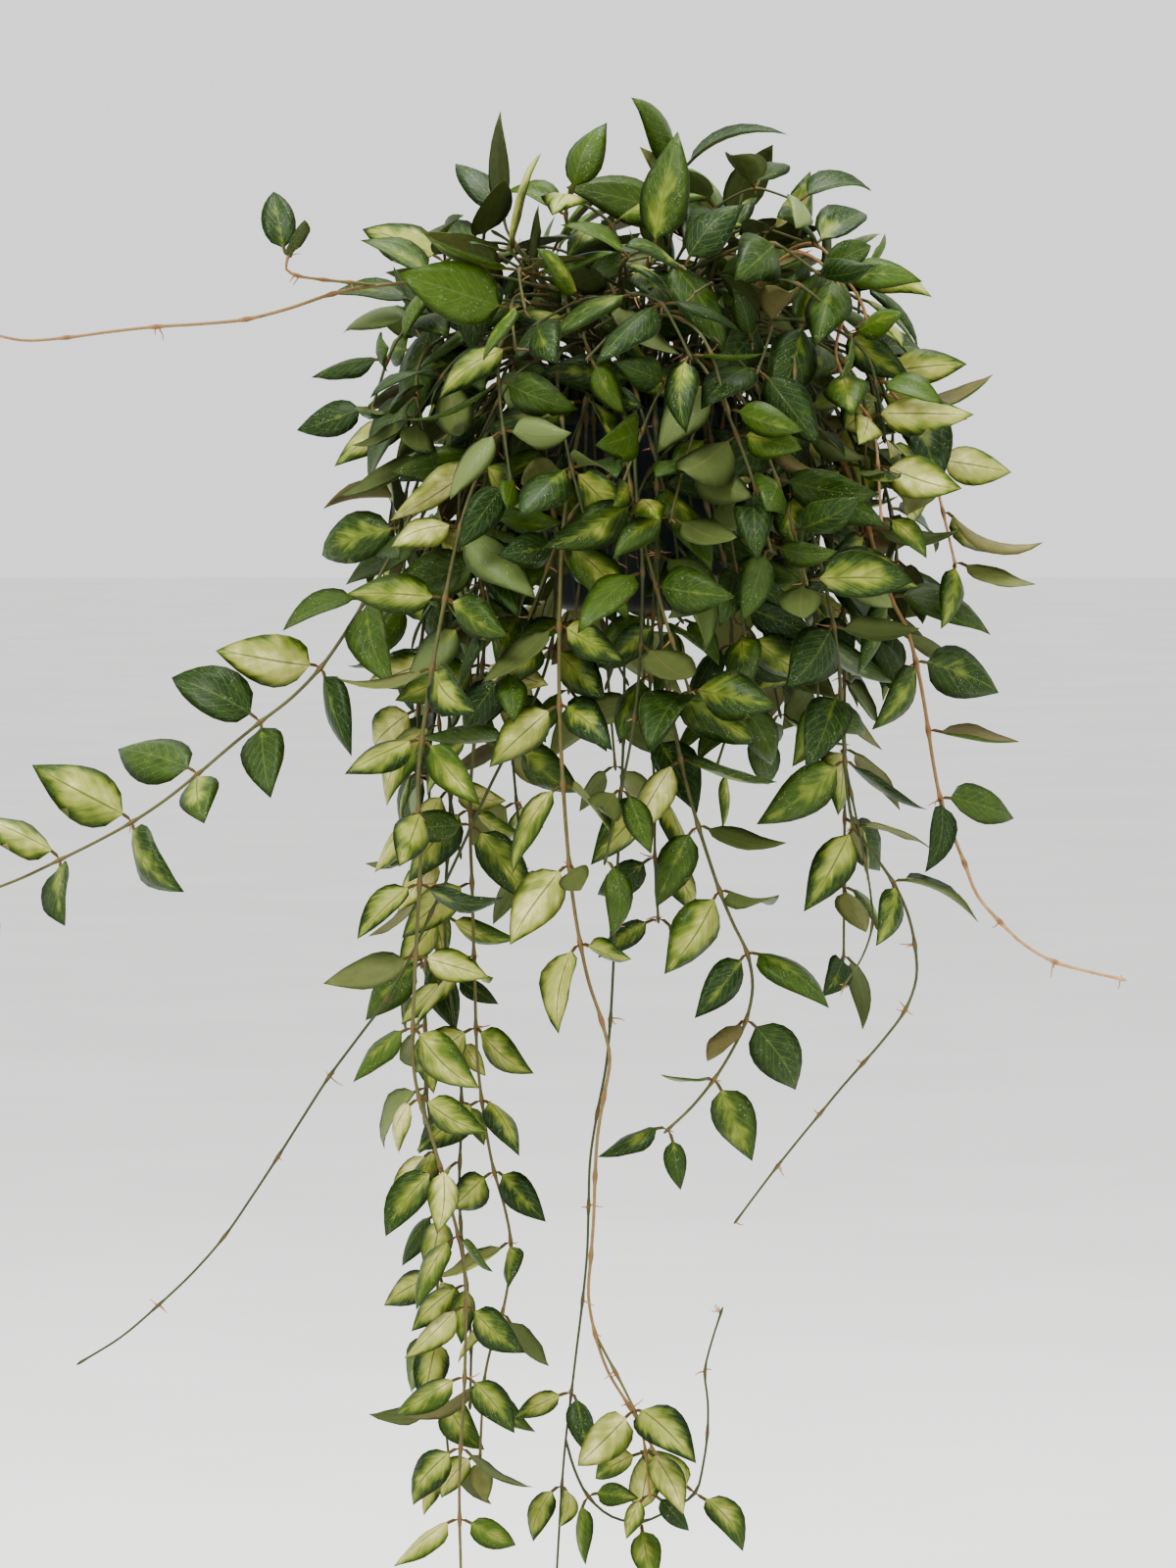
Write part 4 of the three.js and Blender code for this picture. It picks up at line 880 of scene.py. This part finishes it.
def add_input(tree, name, kind, value=None):
    made = tree.interface.new_socket(name, in_out="INPUT", socket_type=kind)
    if value is not None:
        made.default_value = value
    return made.identifier


def grown_vine_tree():
    """Stems from edges that carry their girth, and a leaf on every loose point with a leaf's numbers."""
    group = bpy.data.node_groups.new("grown_vine", "GeometryNodeTree")
    add_input(group, "Geometry", "NodeSocketGeometry")
    ids = {"Stem Round": add_input(group, "Stem Round", "NodeSocketInt", STEM_ROUND),
           "Petiole Radius": add_input(group, "Petiole Radius", "NodeSocketFloat", PETIOLE_RADIUS),
           "Blade Radius": add_input(group, "Blade Radius", "NodeSocketFloat", BLADE_RADIUS),
           "Blade Depth": add_input(group, "Blade Depth", "NodeSocketFloat", BLADE_DEPTH)}
    group.interface.new_socket("Geometry", in_out="OUTPUT", socket_type="NodeSocketGeometry")
    tree = Tree(group)
    given = tree.node("NodeGroupInput")

    def carried(name, kind="FLOAT"):
        return tree.node("GeometryNodeInputNamedAttribute", {"data_type": kind}, {"Name": name})

    parts = tree.node("GeometryNodeSeparateGeometry", {"domain": "POINT"},
                      {"Geometry": given, "Selection": carried("is_leaf", "BOOLEAN")})

    # one flat leaf sheet, rolled round its own edge
    sheet = tree.node("GeometryNodeMeshGrid", {}, {"Size X": 1.0, "Size Y": 1.0,
                                                   "Vertices X": LEAF_ROWS, "Vertices Y": LEAF_RING})
    flat = tree.node("GeometryNodeStoreNamedAttribute", {"data_type": "FLOAT2", "domain": "CORNER"},
                     {"Geometry": sheet, "Name": "UVMap", "Value": sheet.other("UV Map")})
    spot = tree.node("ShaderNodeSeparateXYZ", {}, {0: tree.node("GeometryNodeInputPosition")})
    for name, wire in (("along", spot + 0.5), ("ring", spot.other("Y") + 0.5)):
        flat = tree.node("GeometryNodeStoreNamedAttribute", {"data_type": "FLOAT", "domain": "POINT"},
                         {"Geometry": flat, "Name": name, "Value": wire})
    leaves = tree.node("GeometryNodeInstanceOnPoints", {}, {"Points": parts, "Instance": flat})
    leaves = tree.node("GeometryNodeRealizeInstances", {}, {"Geometry": leaves})

    # where each point of the sheet goes
    u, ring = carried("along"), carried("ring")
    stalk = (u / PETIOLE_SHARE).maths("MINIMUM", u / PETIOLE_SHARE, 1)
    share = (u - PETIOLE_SHARE) / (1 - PETIOLE_SHARE)
    share = share.maths("MAXIMUM", share, 0)
    t = share ** ROW_POWER
    s = 1 - abs(ring * 4 - 2)
    round_ring = ring * (2 * math.pi)
    vector = {name: carried(name, "FLOAT_VECTOR") for name in LEAF_VECTORS}
    length, width, droop, cup = (carried(name) for name in ("length", "width", "droop", "cup"))
    bend = droop * t
    reach = length * bend.sin() / droop
    fall = length * (1 - bend.cos()) / droop
    half = width * (0.5 / OUTLINE_TOP) * (t ** OUTLINE_BASE) * ((1 - t) ** OUTLINE_TIP)
    blade = share.rise(0, 0.25)
    thick = given.other("Petiole Radius") * (1 - blade) + given.other("Blade Radius") * blade
    thick = thick * (1 - t ** 6) * (u > 0.001)
    aside = half * (cup * s).sin() / cup - thick * round_ring.cos()
    aside = aside + carried("hook") * length * (t ** 3)
    sink = half * (1 - (cup * s).cos()) / cup + given.other("Blade Depth") * blade
    sink = sink - thick * round_ring.sin()
    sink = sink + carried("wave") * half * (t * 11 + carried("turn")).sin() * s * s
    sink = sink - carried("fold") * half * abs(s)
    bow = vector["pair"] * (stalk * (1 - stalk) * (2 * PETIOLE_OFF / 1000))
    bow = bow + (vector["base"] - vector["node"]) * (stalk * stalk)
    face = vector["up"] * bend.cos() + vector["out"] * bend.sin()
    point = vector["node"] + bow + vector["out"] * reach - vector["up"] * fall
    point = point + vector["side"] * aside - face * sink
    leaves = tree.node("GeometryNodeSetPosition", {}, {"Geometry": leaves, "Position": point})
    leaves = tree.node("GeometryNodeMergeByDistance", {}, {"Geometry": leaves, "Distance": 0.000004})
    leaves = tree.node("GeometryNodeSetMaterial", {}, {"Geometry": leaves, "Material": leaf_skin})

    # stems and aerial roots
    line = tree.node("GeometryNodeMeshToCurve", {}, {"Mesh": parts.other("Inverted")})
    rounded = tree.node("GeometryNodeCurvePrimitiveCircle", {"mode": "RADIUS"},
                        {"Resolution": given.other("Stem Round"), "Radius": 1.0})
    stems = tree.node("GeometryNodeCurveToMesh", {}, {"Curve": line, "Profile Curve": rounded,
                                                      "Scale": carried("girth"), "Fill Caps": True})
    stems = tree.node("GeometryNodeSetMaterial", {}, {"Geometry": stems, "Material": bark_skin})
    whole = tree.node("GeometryNodeJoinGeometry", {}, {0: [stems, leaves]})
    whole = tree.node("GeometryNodeSetShadeSmooth", {}, {"Geometry": whole, "Shade Smooth": True})
    whole = tree.node("GeometryNodeRealizeInstances", {}, {"Geometry": whole})
    tree.node("NodeGroupOutput", {}, {"Geometry": whole})
    return group, ids


def fine_axis(axis):
    """Points a few millimetres apart along a stem, with the girth and the swelling at each."""
    points = axis["points"]
    last = len(points) - 1
    rows = []
    for i in range(last):
        long = size(points[i + 1] - points[i])
        count = max(2, round(long / STEM_STEP))
        for j in range(count + (i == last - 1)):
            k = j / count
            ends = [(long * k, i), (long * (1 - k), i + 1)]
            near = min([d for d, n in ends if is_node(axis, n)], default=99)
            swell = math.exp(-(near / NODE_REACH) ** 2)
            share = (i + k) / last
            girth = plain_radius(axis, share) * STEM_SLIMMER * (1 + NODE_BULGE * swell)
            rows.append((spline_point(points, i, k), girth, swell, share))
    way = tangent_at(axis, last)
    tip, girth, swell, share = rows[-1]
    rows[-1] = (tip, girth * 0.85, 0.3, share)
    rows.append((tip + way * (BUD_LENGTH * 0.6), girth * 0.62, 0, share))
    rows.append((tip + way * BUD_LENGTH, girth * 0.2, 0, share))
    return rows


def vine_skeleton(name, group, seed):
    """The wire form of one or more vines: stem edges, root edges and loose leaf points."""
    look = np.random.default_rng(seed)
    places, edges = [], []
    numbers = {key: [] for key in (*STEM_NUMBERS, *LEAF_NUMBERS, *LEAF_TINTS)}
    vectors = {key: [] for key in LEAF_VECTORS}

    def put(place, **values):
        places.append(place / 1000)
        for key, column in numbers.items():
            column.append(values.get(key, 0))
        for key, column in vectors.items():
            column.append(values.get(key, (0, 0, 0)))

    for vine in group:
        old = OLD_BARK.get(vine["name"], 0.05 + 0.28 * look.random())
        for axis in vine["axes"]:
            rows = fine_axis(axis)
            for j, (place, girth, swell, share) in enumerate(rows):
                if j:
                    edges.append((len(places) - 1, len(places)))
                put(place, girth=girth / 1000, swell=swell, bark=old * (0.4 + 0.6 * share))
            for i in range(1, len(axis["points"])):
                if not is_node(axis, i):
                    continue
                way, flat, lift = across_stem(axis, i)
                for r in range(look.integers(0, 2 + 2 * (vine["name"] in OLD_BARK))):
                    turn = look.uniform(0, 2 * math.pi)
                    down = lift * (0.5 + abs(math.sin(turn)))
                    out = unit(flat * math.cos(turn) - down + way * look.uniform(-0.3, 0.5))
                    long = look.uniform(3, 12)
                    start = axis["points"][i] + way * look.uniform(-1.5, 1.5)
                    for j in range(4):
                        if j:
                            edges.append((len(places) - 1, len(places)))
                            out = unit(out + vec(*look.uniform(-0.35, 0.35, 3)))
                        put(start, girth=(0.6 - 0.13 * j) / 1000, root=1, bark=old)
                        start = start + out * (long / 3)
        for leaf in vine["leaves"].values():
            gold = min(1, max(0, vine["light"] * 0.85 - 0.16 + look.normal(0, 0.22)))
            pale = look.random() < 0.07 and gold < 0.3
            put(leaf["node"], **{key: leaf[key] / 1000 for key in ("node", "base", "length", "width")},
                **{key: leaf[key] for key in ("pair", "out", "side", "up", "droop")},
                cup=leaf["cup"] * (-0.7 if look.random() < 0.25 else 1), fold=look.uniform(-0.1, 0.3),
                hook=look.normal(0, 0.07), wave=look.uniform(0, 0.09), turn=look.uniform(0, 6.3),
                gold=gold, tint=look.random(), pale=look.uniform(0.5, 1) * pale)
    mesh = bpy.data.meshes.new(name)
    mesh.from_pydata(places, edges, [])
    for key, column in numbers.items():
        mesh.attributes.new(key, "FLOAT", "POINT").data.foreach_set("value", np.array(column, np.float32))
    for key, column in vectors.items():
        made = mesh.attributes.new(key, "FLOAT_VECTOR", "POINT")
        made.data.foreach_set("vector", np.array(column, np.float32).ravel())
    leafy = np.array(numbers["length"]) > 0
    mesh.attributes.new("is_leaf", "BOOLEAN", "POINT").data.foreach_set("value", leafy)
    return mesh


def grown(name, mesh, group, inputs):
    """Runs a node tree on a mesh and keeps what comes out as a plain mesh."""
    piece = bpy.data.objects.new(name, mesh)
    bpy.context.scene.collection.objects.link(piece)
    made = piece.modifiers.new("growth", "NODES")
    made.node_group = group
    for key, value in inputs.items():
        made[key] = value
    there = bpy.context.evaluated_depsgraph_get()
    there.update()
    plain = bpy.data.meshes.new_from_object(piece.evaluated_get(there), preserve_all_data_layers=True,
                                            depsgraph=there)
    piece.modifiers.clear()
    piece.data = plain
    bpy.data.meshes.remove(mesh)
    plain.name = name
    for key in (*LEAF_VECTORS, *LEAF_NUMBERS, "is_leaf", "along", "ring", "girth"):
        spare = plain.attributes.get(key)
        if spare:
            plain.attributes.remove(spare)
    return piece


def leaf_slot(light):
    if light < 0.45:
        return "leaf_green"
    return "leaf_yellow_green" if light < 0.72 else "leaf_cream"


FIRST_LOOK = 400
INNER_LOOK = 900
vine_tree, vine_inputs = grown_vine_tree()
for number, vine in enumerate(vines):
    name = vine["name"] + "_grown"
    skeleton = vine_skeleton(name, [vine], FIRST_LOOK + number)
    piece = grown(name, skeleton, vine_tree, {vine_inputs["Stem Round"]: STEM_ROUND})
    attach(piece, "root")
    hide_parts(vine["name"])
    leaf_slot(vine["light"])
piece = grown("inner_shoots", vine_skeleton("inner_shoots", inner_shoots, INNER_LOOK), vine_tree, {})
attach(piece, "root")

# Pot. A growing pot moulded in one piece from dark blue-grey plastic: a tapering wall with narrow upright
# ribs, a thick rolled rim, a plain foot, four drain holes in the floor, and three flat lugs under the rim
# with eyelets for a hanger.
POT_WALL = 1.8
POT_FLOOR = 2.4
POT_FLUTES = 18
FLUTE_DEPTH = 1.1
RIM_PROUD = 2.4
FOOT_HEIGHT = 5
DRAIN_HOLES = 4
DRAIN_RADIUS = 3.6
DRAIN_CIRCLE = 30
LUG_ANGLES = (90, 210, 330)
LUG_ROOT = 65.4
LUG_WIDTH = 11
LUG_THICKNESS = 3
LUG_TOP = -1
EYELET_RADIUS = 1.7
EYELET_AT = 70.2
POT_ROUND = 216


def wall_radius(z):
    return POT_RIM_RADIUS + (POT_BASE_RADIUS - POT_RIM_RADIUS) * (-z / POT_HEIGHT)


def lathe(name, rows, count):
    """A closed turned form. Each row is a radius, a height and how deep the flutes are there."""
    form = bmesh.new()
    rings = []
    for radius, z, flute in rows:
        ring = []
        for k in range(count if radius > 0 else 1):
            turn = 2 * math.pi * k / count
            rib = max(0, math.cos(POT_FLUTES * turn)) ** 2
            r = radius - flute * (1 - rib)
            ring.append(form.verts.new((r * math.cos(turn) / 1000, r * math.sin(turn) / 1000, z / 1000)))
        rings.append(ring)
    for a, b in zip(rings, rings[1:]):
        for k in range(count):
            n = (k + 1) % count
            if len(a) == 1:
                form.faces.new((a[0], b[n], b[k]))
            elif len(b) == 1:
                form.faces.new((a[k], a[n], b[0]))
            else:
                form.faces.new((a[k], a[n], b[n], b[k]))
    bmesh.ops.recalc_face_normals(form, faces=form.faces)
    mesh = bpy.data.meshes.new(name)
    form.to_mesh(mesh)
    form.free()
    return mesh


def plate(outline, low, high, name):
    """A flat plate from its outline, with softly broken edges."""
    middle = np.mean(outline, 0)
    form = bmesh.new()
    rings = []
    for shrink, z in ((0.5, low), (0, low + 0.5), (0, high - 0.5), (0.5, high)):
        ring = []
        for p in outline:
            inward = (middle - p) / size(middle - p) * shrink
            ring.append(form.verts.new(((p[0] + inward[0]) / 1000, (p[1] + inward[1]) / 1000, z / 1000)))
        rings.append(ring)
    for a, b in zip(rings, rings[1:]):
        for k in range(len(a)):
            n = (k + 1) % len(a)
            form.faces.new((a[k], a[n], b[n], b[k]))
    form.faces.new(rings[0][::-1])
    form.faces.new(rings[-1])
    bmesh.ops.recalc_face_normals(form, faces=form.faces)
    mesh = bpy.data.meshes.new(name)
    form.to_mesh(mesh)
    form.free()
    return mesh


def cut_or_join(piece, mesh, operation):
    tool = bpy.data.objects.new("tool", mesh)
    bpy.context.scene.collection.objects.link(tool)
    made = piece.modifiers.new("cut", "BOOLEAN")
    made.operation, made.solver, made.object = operation, "EXACT", tool
    there = bpy.context.evaluated_depsgraph_get()
    plain = bpy.data.meshes.new_from_object(piece.evaluated_get(there))
    piece.modifiers.clear()
    piece.data = plain
    bpy.data.objects.remove(tool)


def disc(x, y, radius, low, high, count):
    turns = np.linspace(0, 2 * math.pi, count, endpoint=False)
    ring = [vec(x + radius * math.cos(a), y + radius * math.sin(a), 0) for a in turns]
    return plate(ring, low, high, "disc")


under = -RIM_HEIGHT
floor_top = -POT_HEIGHT + POT_FLOOR
outer_rim = POT_RIM_RADIUS + RIM_PROUD
inner_top = POT_RIM_RADIUS - POT_WALL - FLUTE_DEPTH
inner_base = POT_BASE_RADIUS - POT_WALL - FLUTE_DEPTH
foot_top = -POT_HEIGHT + FOOT_HEIGHT
pot_rows = [(0, -POT_HEIGHT + 0.8, 0), (POT_BASE_RADIUS - 6, -POT_HEIGHT + 0.8, 0),
            (POT_BASE_RADIUS - 4.6, -POT_HEIGHT, 0), (POT_BASE_RADIUS - 0.9, -POT_HEIGHT, 0),
            (POT_BASE_RADIUS, -POT_HEIGHT + 0.9, 0), (wall_radius(foot_top), foot_top - 0.4, 0),
            (wall_radius(foot_top + 2), foot_top + 1.4, FLUTE_DEPTH)]
for share in (0.25, 0.5, 0.75, 1):
    z = (foot_top + 2) * (1 - share) + under * share
    pot_rows.append((wall_radius(z), z, FLUTE_DEPTH))
pot_rows += [(outer_rim - 0.5, under + 1.2, 0), (outer_rim, under + 2.2, 0), (outer_rim, -1.6, 0),
             (outer_rim - 0.5, -0.5, 0), (outer_rim - 1.7, 0, 0), (inner_top + 1.2, 0, 0),
             (inner_top + 0.3, -0.4, 0), (inner_top, -1.5, 0), (inner_base + 1.5, floor_top + 0.6, 0),
             (inner_base, floor_top, 0), (0, floor_top, 0)]
pot = bpy.data.objects.new("ribbed_pot", lathe("ribbed_pot", pot_rows, POT_ROUND))
bpy.context.scene.collection.objects.link(pot)
lug_side = [(LUG_ROOT, 0.5), (EYELET_AT, 0.5), (EYELET_AT + 1.6, 0.42), (LUG_REACH - 0.7, 0.3),
            (LUG_REACH, 0.12)]
for degrees in LUG_ANGLES:
    outward = polar(1, degrees, 0)
    sideways = polar(1, degrees + 90, 0)
    outline = [outward * r - sideways * (w * LUG_WIDTH) for r, w in lug_side]
    outline += [outward * r + sideways * (w * LUG_WIDTH) for r, w in lug_side[::-1]]
    cut_or_join(pot, plate(outline, LUG_TOP - LUG_THICKNESS, LUG_TOP, "lug"), "UNION")
    eye = outward * EYELET_AT
    eyelet = disc(eye[0], eye[1], EYELET_RADIUS, LUG_TOP - LUG_THICKNESS - 2, LUG_TOP + 2, 20)
    cut_or_join(pot, eyelet, "DIFFERENCE")
for i in range(DRAIN_HOLES):
    at = polar(DRAIN_CIRCLE, 45 + 360 * i / DRAIN_HOLES, 0)
    drain = disc(at[0], at[1], DRAIN_RADIUS, -POT_HEIGHT - 2, floor_top + 2, 24)
    cut_or_join(pot, drain, "DIFFERENCE")
pot_skin, tree, shader = new_finish("ribbed_pot_plastic", {"Specular IOR Level": 0.3})
place = tree.node("ShaderNodeTexCoord").other("Object")
dust = tree.noise(place, 45, 4, 0.65)
fine = tree.noise(place, 900, 2)
stretched = tree.node("ShaderNodeMapping", {}, {"Vector": place, "Scale": (260, 260, 14)})
painted_highlight_streaks = tree.noise(stretched, 1, 3, 0.6)
height_up = tree.node("ShaderNodeSeparateXYZ", {}, {0: place}).other("Z")
skin = tree.mix(dust.rise(0.35, 0.75), (0.011, 0.015, 0.019), (0.022, 0.028, 0.034))
# Painted highlight: pale upright streaks on the dark plastic stand in for light caught along the ribs; the
# same streaks also make the plastic a little rougher there.
skin = tree.mix(painted_highlight_streaks.rise(0.56, 0.8) * 0.4, skin, (0.12, 0.125, 0.12))
skin = tree.mix(height_up.rise(-0.1, -0.118) * 0.5, skin, (0.09, 0.075, 0.055))
bump = tree.node("ShaderNodeBump", {}, {"Strength": 0.3, "Distance": 0.0003, "Height": fine + dust * 0.6})
give(tree, shader, base_color=skin, roughness=0.34 + dust * 0.2 + painted_highlight_streaks.rise(0.5, 0.8) * 0.2, normal=bump)
pot.data.materials.clear()
pot.data.materials.append(pot_skin)
pot.data.shade_smooth()
pot.data.set_sharp_from_angle(angle=math.radians(38))
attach(pot, "root")
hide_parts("pot")

# Growing medium. A coarse, airy mix of brown coir fibre and bark chips, packed to just under the rim
# and a little domed, with loose fibres and chips on its top.
MEDIUM_INSET = POT_WALL + FLUTE_DEPTH + 0.45
medium_rows = [(0, floor_top + 0.3, 0), (wall_radius(-POT_HEIGHT) - MEDIUM_INSET, floor_top + 0.3, 0)]
medium_edge = wall_radius(MEDIUM_TOP) - MEDIUM_INSET
for share in (0.33, 0.66, 1):
    z = floor_top * (1 - share) + MEDIUM_TOP * share
    medium_rows.append((wall_radius(z) - MEDIUM_INSET, z, 0))
for step in range(1, 25):
    share = step / 25
    dome = MEDIUM_CROWN * math.sin(min(1, share * 2.3) * math.pi / 2)
    medium_rows.append((medium_edge * (1 - share), MEDIUM_TOP + dome, 0))
medium_rows.append((0, MEDIUM_TOP + MEDIUM_CROWN, 0))
medium_form = lathe("coir_and_bark", medium_rows, 96)
for vertex in medium_form.vertices:
    if vertex.co.z > (MEDIUM_TOP + 0.4) / 1000:
        lump = noise.fractal(vertex.co * 160, 0.8, 2.1, 4)
        vertex.co.z += 0.0016 * lump
medium_skin, tree, shader = new_finish("coir_and_bark_fibre", {"Specular IOR Level": 0.2})
place = tree.node("ShaderNodeTexCoord").other("Object")
coarse = tree.noise(place, 130, 5, 0.7)
fine = tree.noise(place, 700, 3, 0.7)
skin = tree.mix(coarse.rise(0.3, 0.62), (0.018, 0.010, 0.006), (0.10, 0.052, 0.026))
skin = tree.mix(fine.rise(0.55, 0.75) * 0.6, skin, (0.24, 0.14, 0.07))
bump = tree.node("ShaderNodeBump", {}, {"Strength": 0.9, "Distance": 0.0015, "Height": coarse + fine * 0.5})
give(tree, shader, base_color=skin, roughness=0.85 + fine * 0.12, normal=bump)


def loose_fibre_tree():
    """Fibres and chips scattered over the top of the medium."""
    group = bpy.data.node_groups.new("loose_fibre", "GeometryNodeTree")
    add_input(group, "Geometry", "NodeSocketGeometry")
    ids = {"Fibres": add_input(group, "Fibres", "NodeSocketFloat", 120000.0),
           "Chips": add_input(group, "Chips", "NodeSocketFloat", 30000.0),
           "Fibre Length": add_input(group, "Fibre Length", "NodeSocketFloat", 0.012)}
    group.interface.new_socket("Geometry", in_out="OUTPUT", socket_type="NodeSocketGeometry")
    tree = Tree(group)
    given = tree.node("NodeGroupInput")
    normal = tree.node("ShaderNodeSeparateXYZ", {}, {0: tree.node("GeometryNodeInputNormal")})
    facing_up = normal.other("Z") > 0.5
    whole = [given]
    arc = tree.node("GeometryNodeCurveQuadraticBezier", {},
                    {"Resolution": 4, "Start": (-0.5, 0.0, -0.04), "Middle": (0.05, 0.25, 0.3),
                     "End": (0.5, 0.0, -0.02)})
    thread = tree.node("GeometryNodeCurvePrimitiveCircle", {"mode": "RADIUS"},
                       {"Resolution": 3, "Radius": 0.022})
    fibre = tree.node("GeometryNodeCurveToMesh", {},
                      {"Curve": arc, "Profile Curve": thread, "Fill Caps": True})
    chip = tree.node("GeometryNodeMeshIcoSphere", {}, {"Radius": 0.5, "Subdivisions": 1})
    chip = tree.node("GeometryNodeTransform", {}, {"Geometry": chip, "Scale": (1.0, 0.6, 0.28)})
    spread_kinds = ((fibre, "Fibres", 11, 0.5, 1.1), (chip, "Chips", 12, 0.25, 0.6))
    for form, density, seed, small, large in spread_kinds:
        spots = tree.node("GeometryNodeDistributePointsOnFaces", {"distribute_method": "RANDOM"},
                          {"Mesh": given, "Selection": facing_up, "Density": given.other(density),
                           "Seed": seed})
        turned = tree.node("FunctionNodeRandomValue", {"data_type": "FLOAT_VECTOR"},
                           {"Min": (-0.35, -0.35, 0.0), "Max": (0.35, 0.35, 6.28), "Seed": seed + 20})
        sized = tree.node("FunctionNodeRandomValue", {"data_type": "FLOAT"},
                          {"Min": small, "Max": large, "Seed": seed + 30})
        sized = sized * given.other("Fibre Length")
        spread = tree.node("GeometryNodeInstanceOnPoints", {}, {"Points": spots, "Instance": form,
                                                                "Rotation": turned, "Scale": sized})
        whole.append(spread)
    whole = tree.node("GeometryNodeJoinGeometry", {}, {0: whole})
    whole = tree.node("GeometryNodeRealizeInstances", {}, {"Geometry": whole})
    whole = tree.node("GeometryNodeSetMaterial", {}, {"Geometry": whole, "Material": medium_skin})
    tree.node("NodeGroupOutput", {}, {"Geometry": whole})
    return group, ids


fibre_tree, fibre_inputs = loose_fibre_tree()
medium = grown("coir_and_bark", medium_form, fibre_tree, {fibre_inputs["Fibres"]: 100000.0})
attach(medium, "root")
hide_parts("growing_medium")

# Studio. A plain pale floor well below the hanging vines, soft daylight all round, a broad lamp from the
# upper left in front, and the camera a little above the rim, looking at the middle of the plant.
FLOOR_AT = -0.80
PHOTO_SCALE = 0.00055
PHOTO_HIGH = 1600
SENSOR = 32
CAMERA_FAR = 4
CAMERA_UP = 3
AIM = Vector((-0.03025, -0.06, -0.21175))
floor_mesh = bpy.data.meshes.new("studio_floor")
corners = [(x, y, FLOOR_AT) for x, y in ((-30, -30), (30, -30), (30, 30), (-30, 30))]
floor_mesh.from_pydata(corners, [], [(0, 1, 2, 3)])
floor = bpy.data.objects.new("studio_floor", floor_mesh)
bpy.context.scene.collection.objects.link(floor)
floor_skin, tree, shader = new_finish("studio_floor_pale", {"Roughness": 0.9, "Specular IOR Level": 0.1})
place = tree.node("ShaderNodeTexCoord").other("Object")
cloud = tree.noise(place, 3, 3).rise(0.3, 0.7)
give(tree, shader, base_color=tree.mix(cloud, (0.88, 0.88, 0.87), (0.92, 0.92, 0.91)))
floor_mesh.materials.append(floor_skin)

world = bpy.data.worlds.new("soft_daylight")
world.use_nodes = True
world.node_tree.nodes["Background"].inputs["Color"].default_value = (1, 1, 1, 1)
world.node_tree.nodes["Background"].inputs["Strength"].default_value = 1.0
bpy.context.scene.world = world
bpy.context.scene.view_settings.look = "AgX - Medium High Contrast"


def lamp(name, place, aim, wide, power, colour):
    """A soft square lamp that faces a point."""
    light = bpy.data.lights.new(name, "AREA")
    light.size, light.energy, light.color = wide, power, colour
    made = bpy.data.objects.new(name, light)
    made.location = place
    made.rotation_euler = (Vector(aim) - Vector(place)).to_track_quat("-Z", "Y").to_euler()
    bpy.context.scene.collection.objects.link(made)


lamp("key_lamp", (-1.2, -1.7, 2.1), AIM, 1.0, 68, (1, 0.985, 0.955))
lamp("fill_lamp", (1.9, -1.5, 0.6), AIM, 1.6, 16, (1, 1, 1))
lamp("top_lamp", (0.2, 0.3, 2.3), AIM, 1.2, 55, (1, 0.995, 0.98))

camera_data = bpy.data.cameras.new("camera")
camera_data.sensor_width = SENSOR
camera_data.lens = SENSOR * CAMERA_FAR / (PHOTO_HIGH * PHOTO_SCALE)
camera = bpy.data.objects.new("camera", camera_data)
tilt = math.radians(CAMERA_UP)
back = Vector((0, -math.cos(tilt), math.sin(tilt)))
camera.location = AIM + back * CAMERA_FAR
camera.rotation_euler = (-back).to_track_quat("-Z", "Y").to_euler()
bpy.context.scene.collection.objects.link(camera)
bpy.context.scene.camera = camera
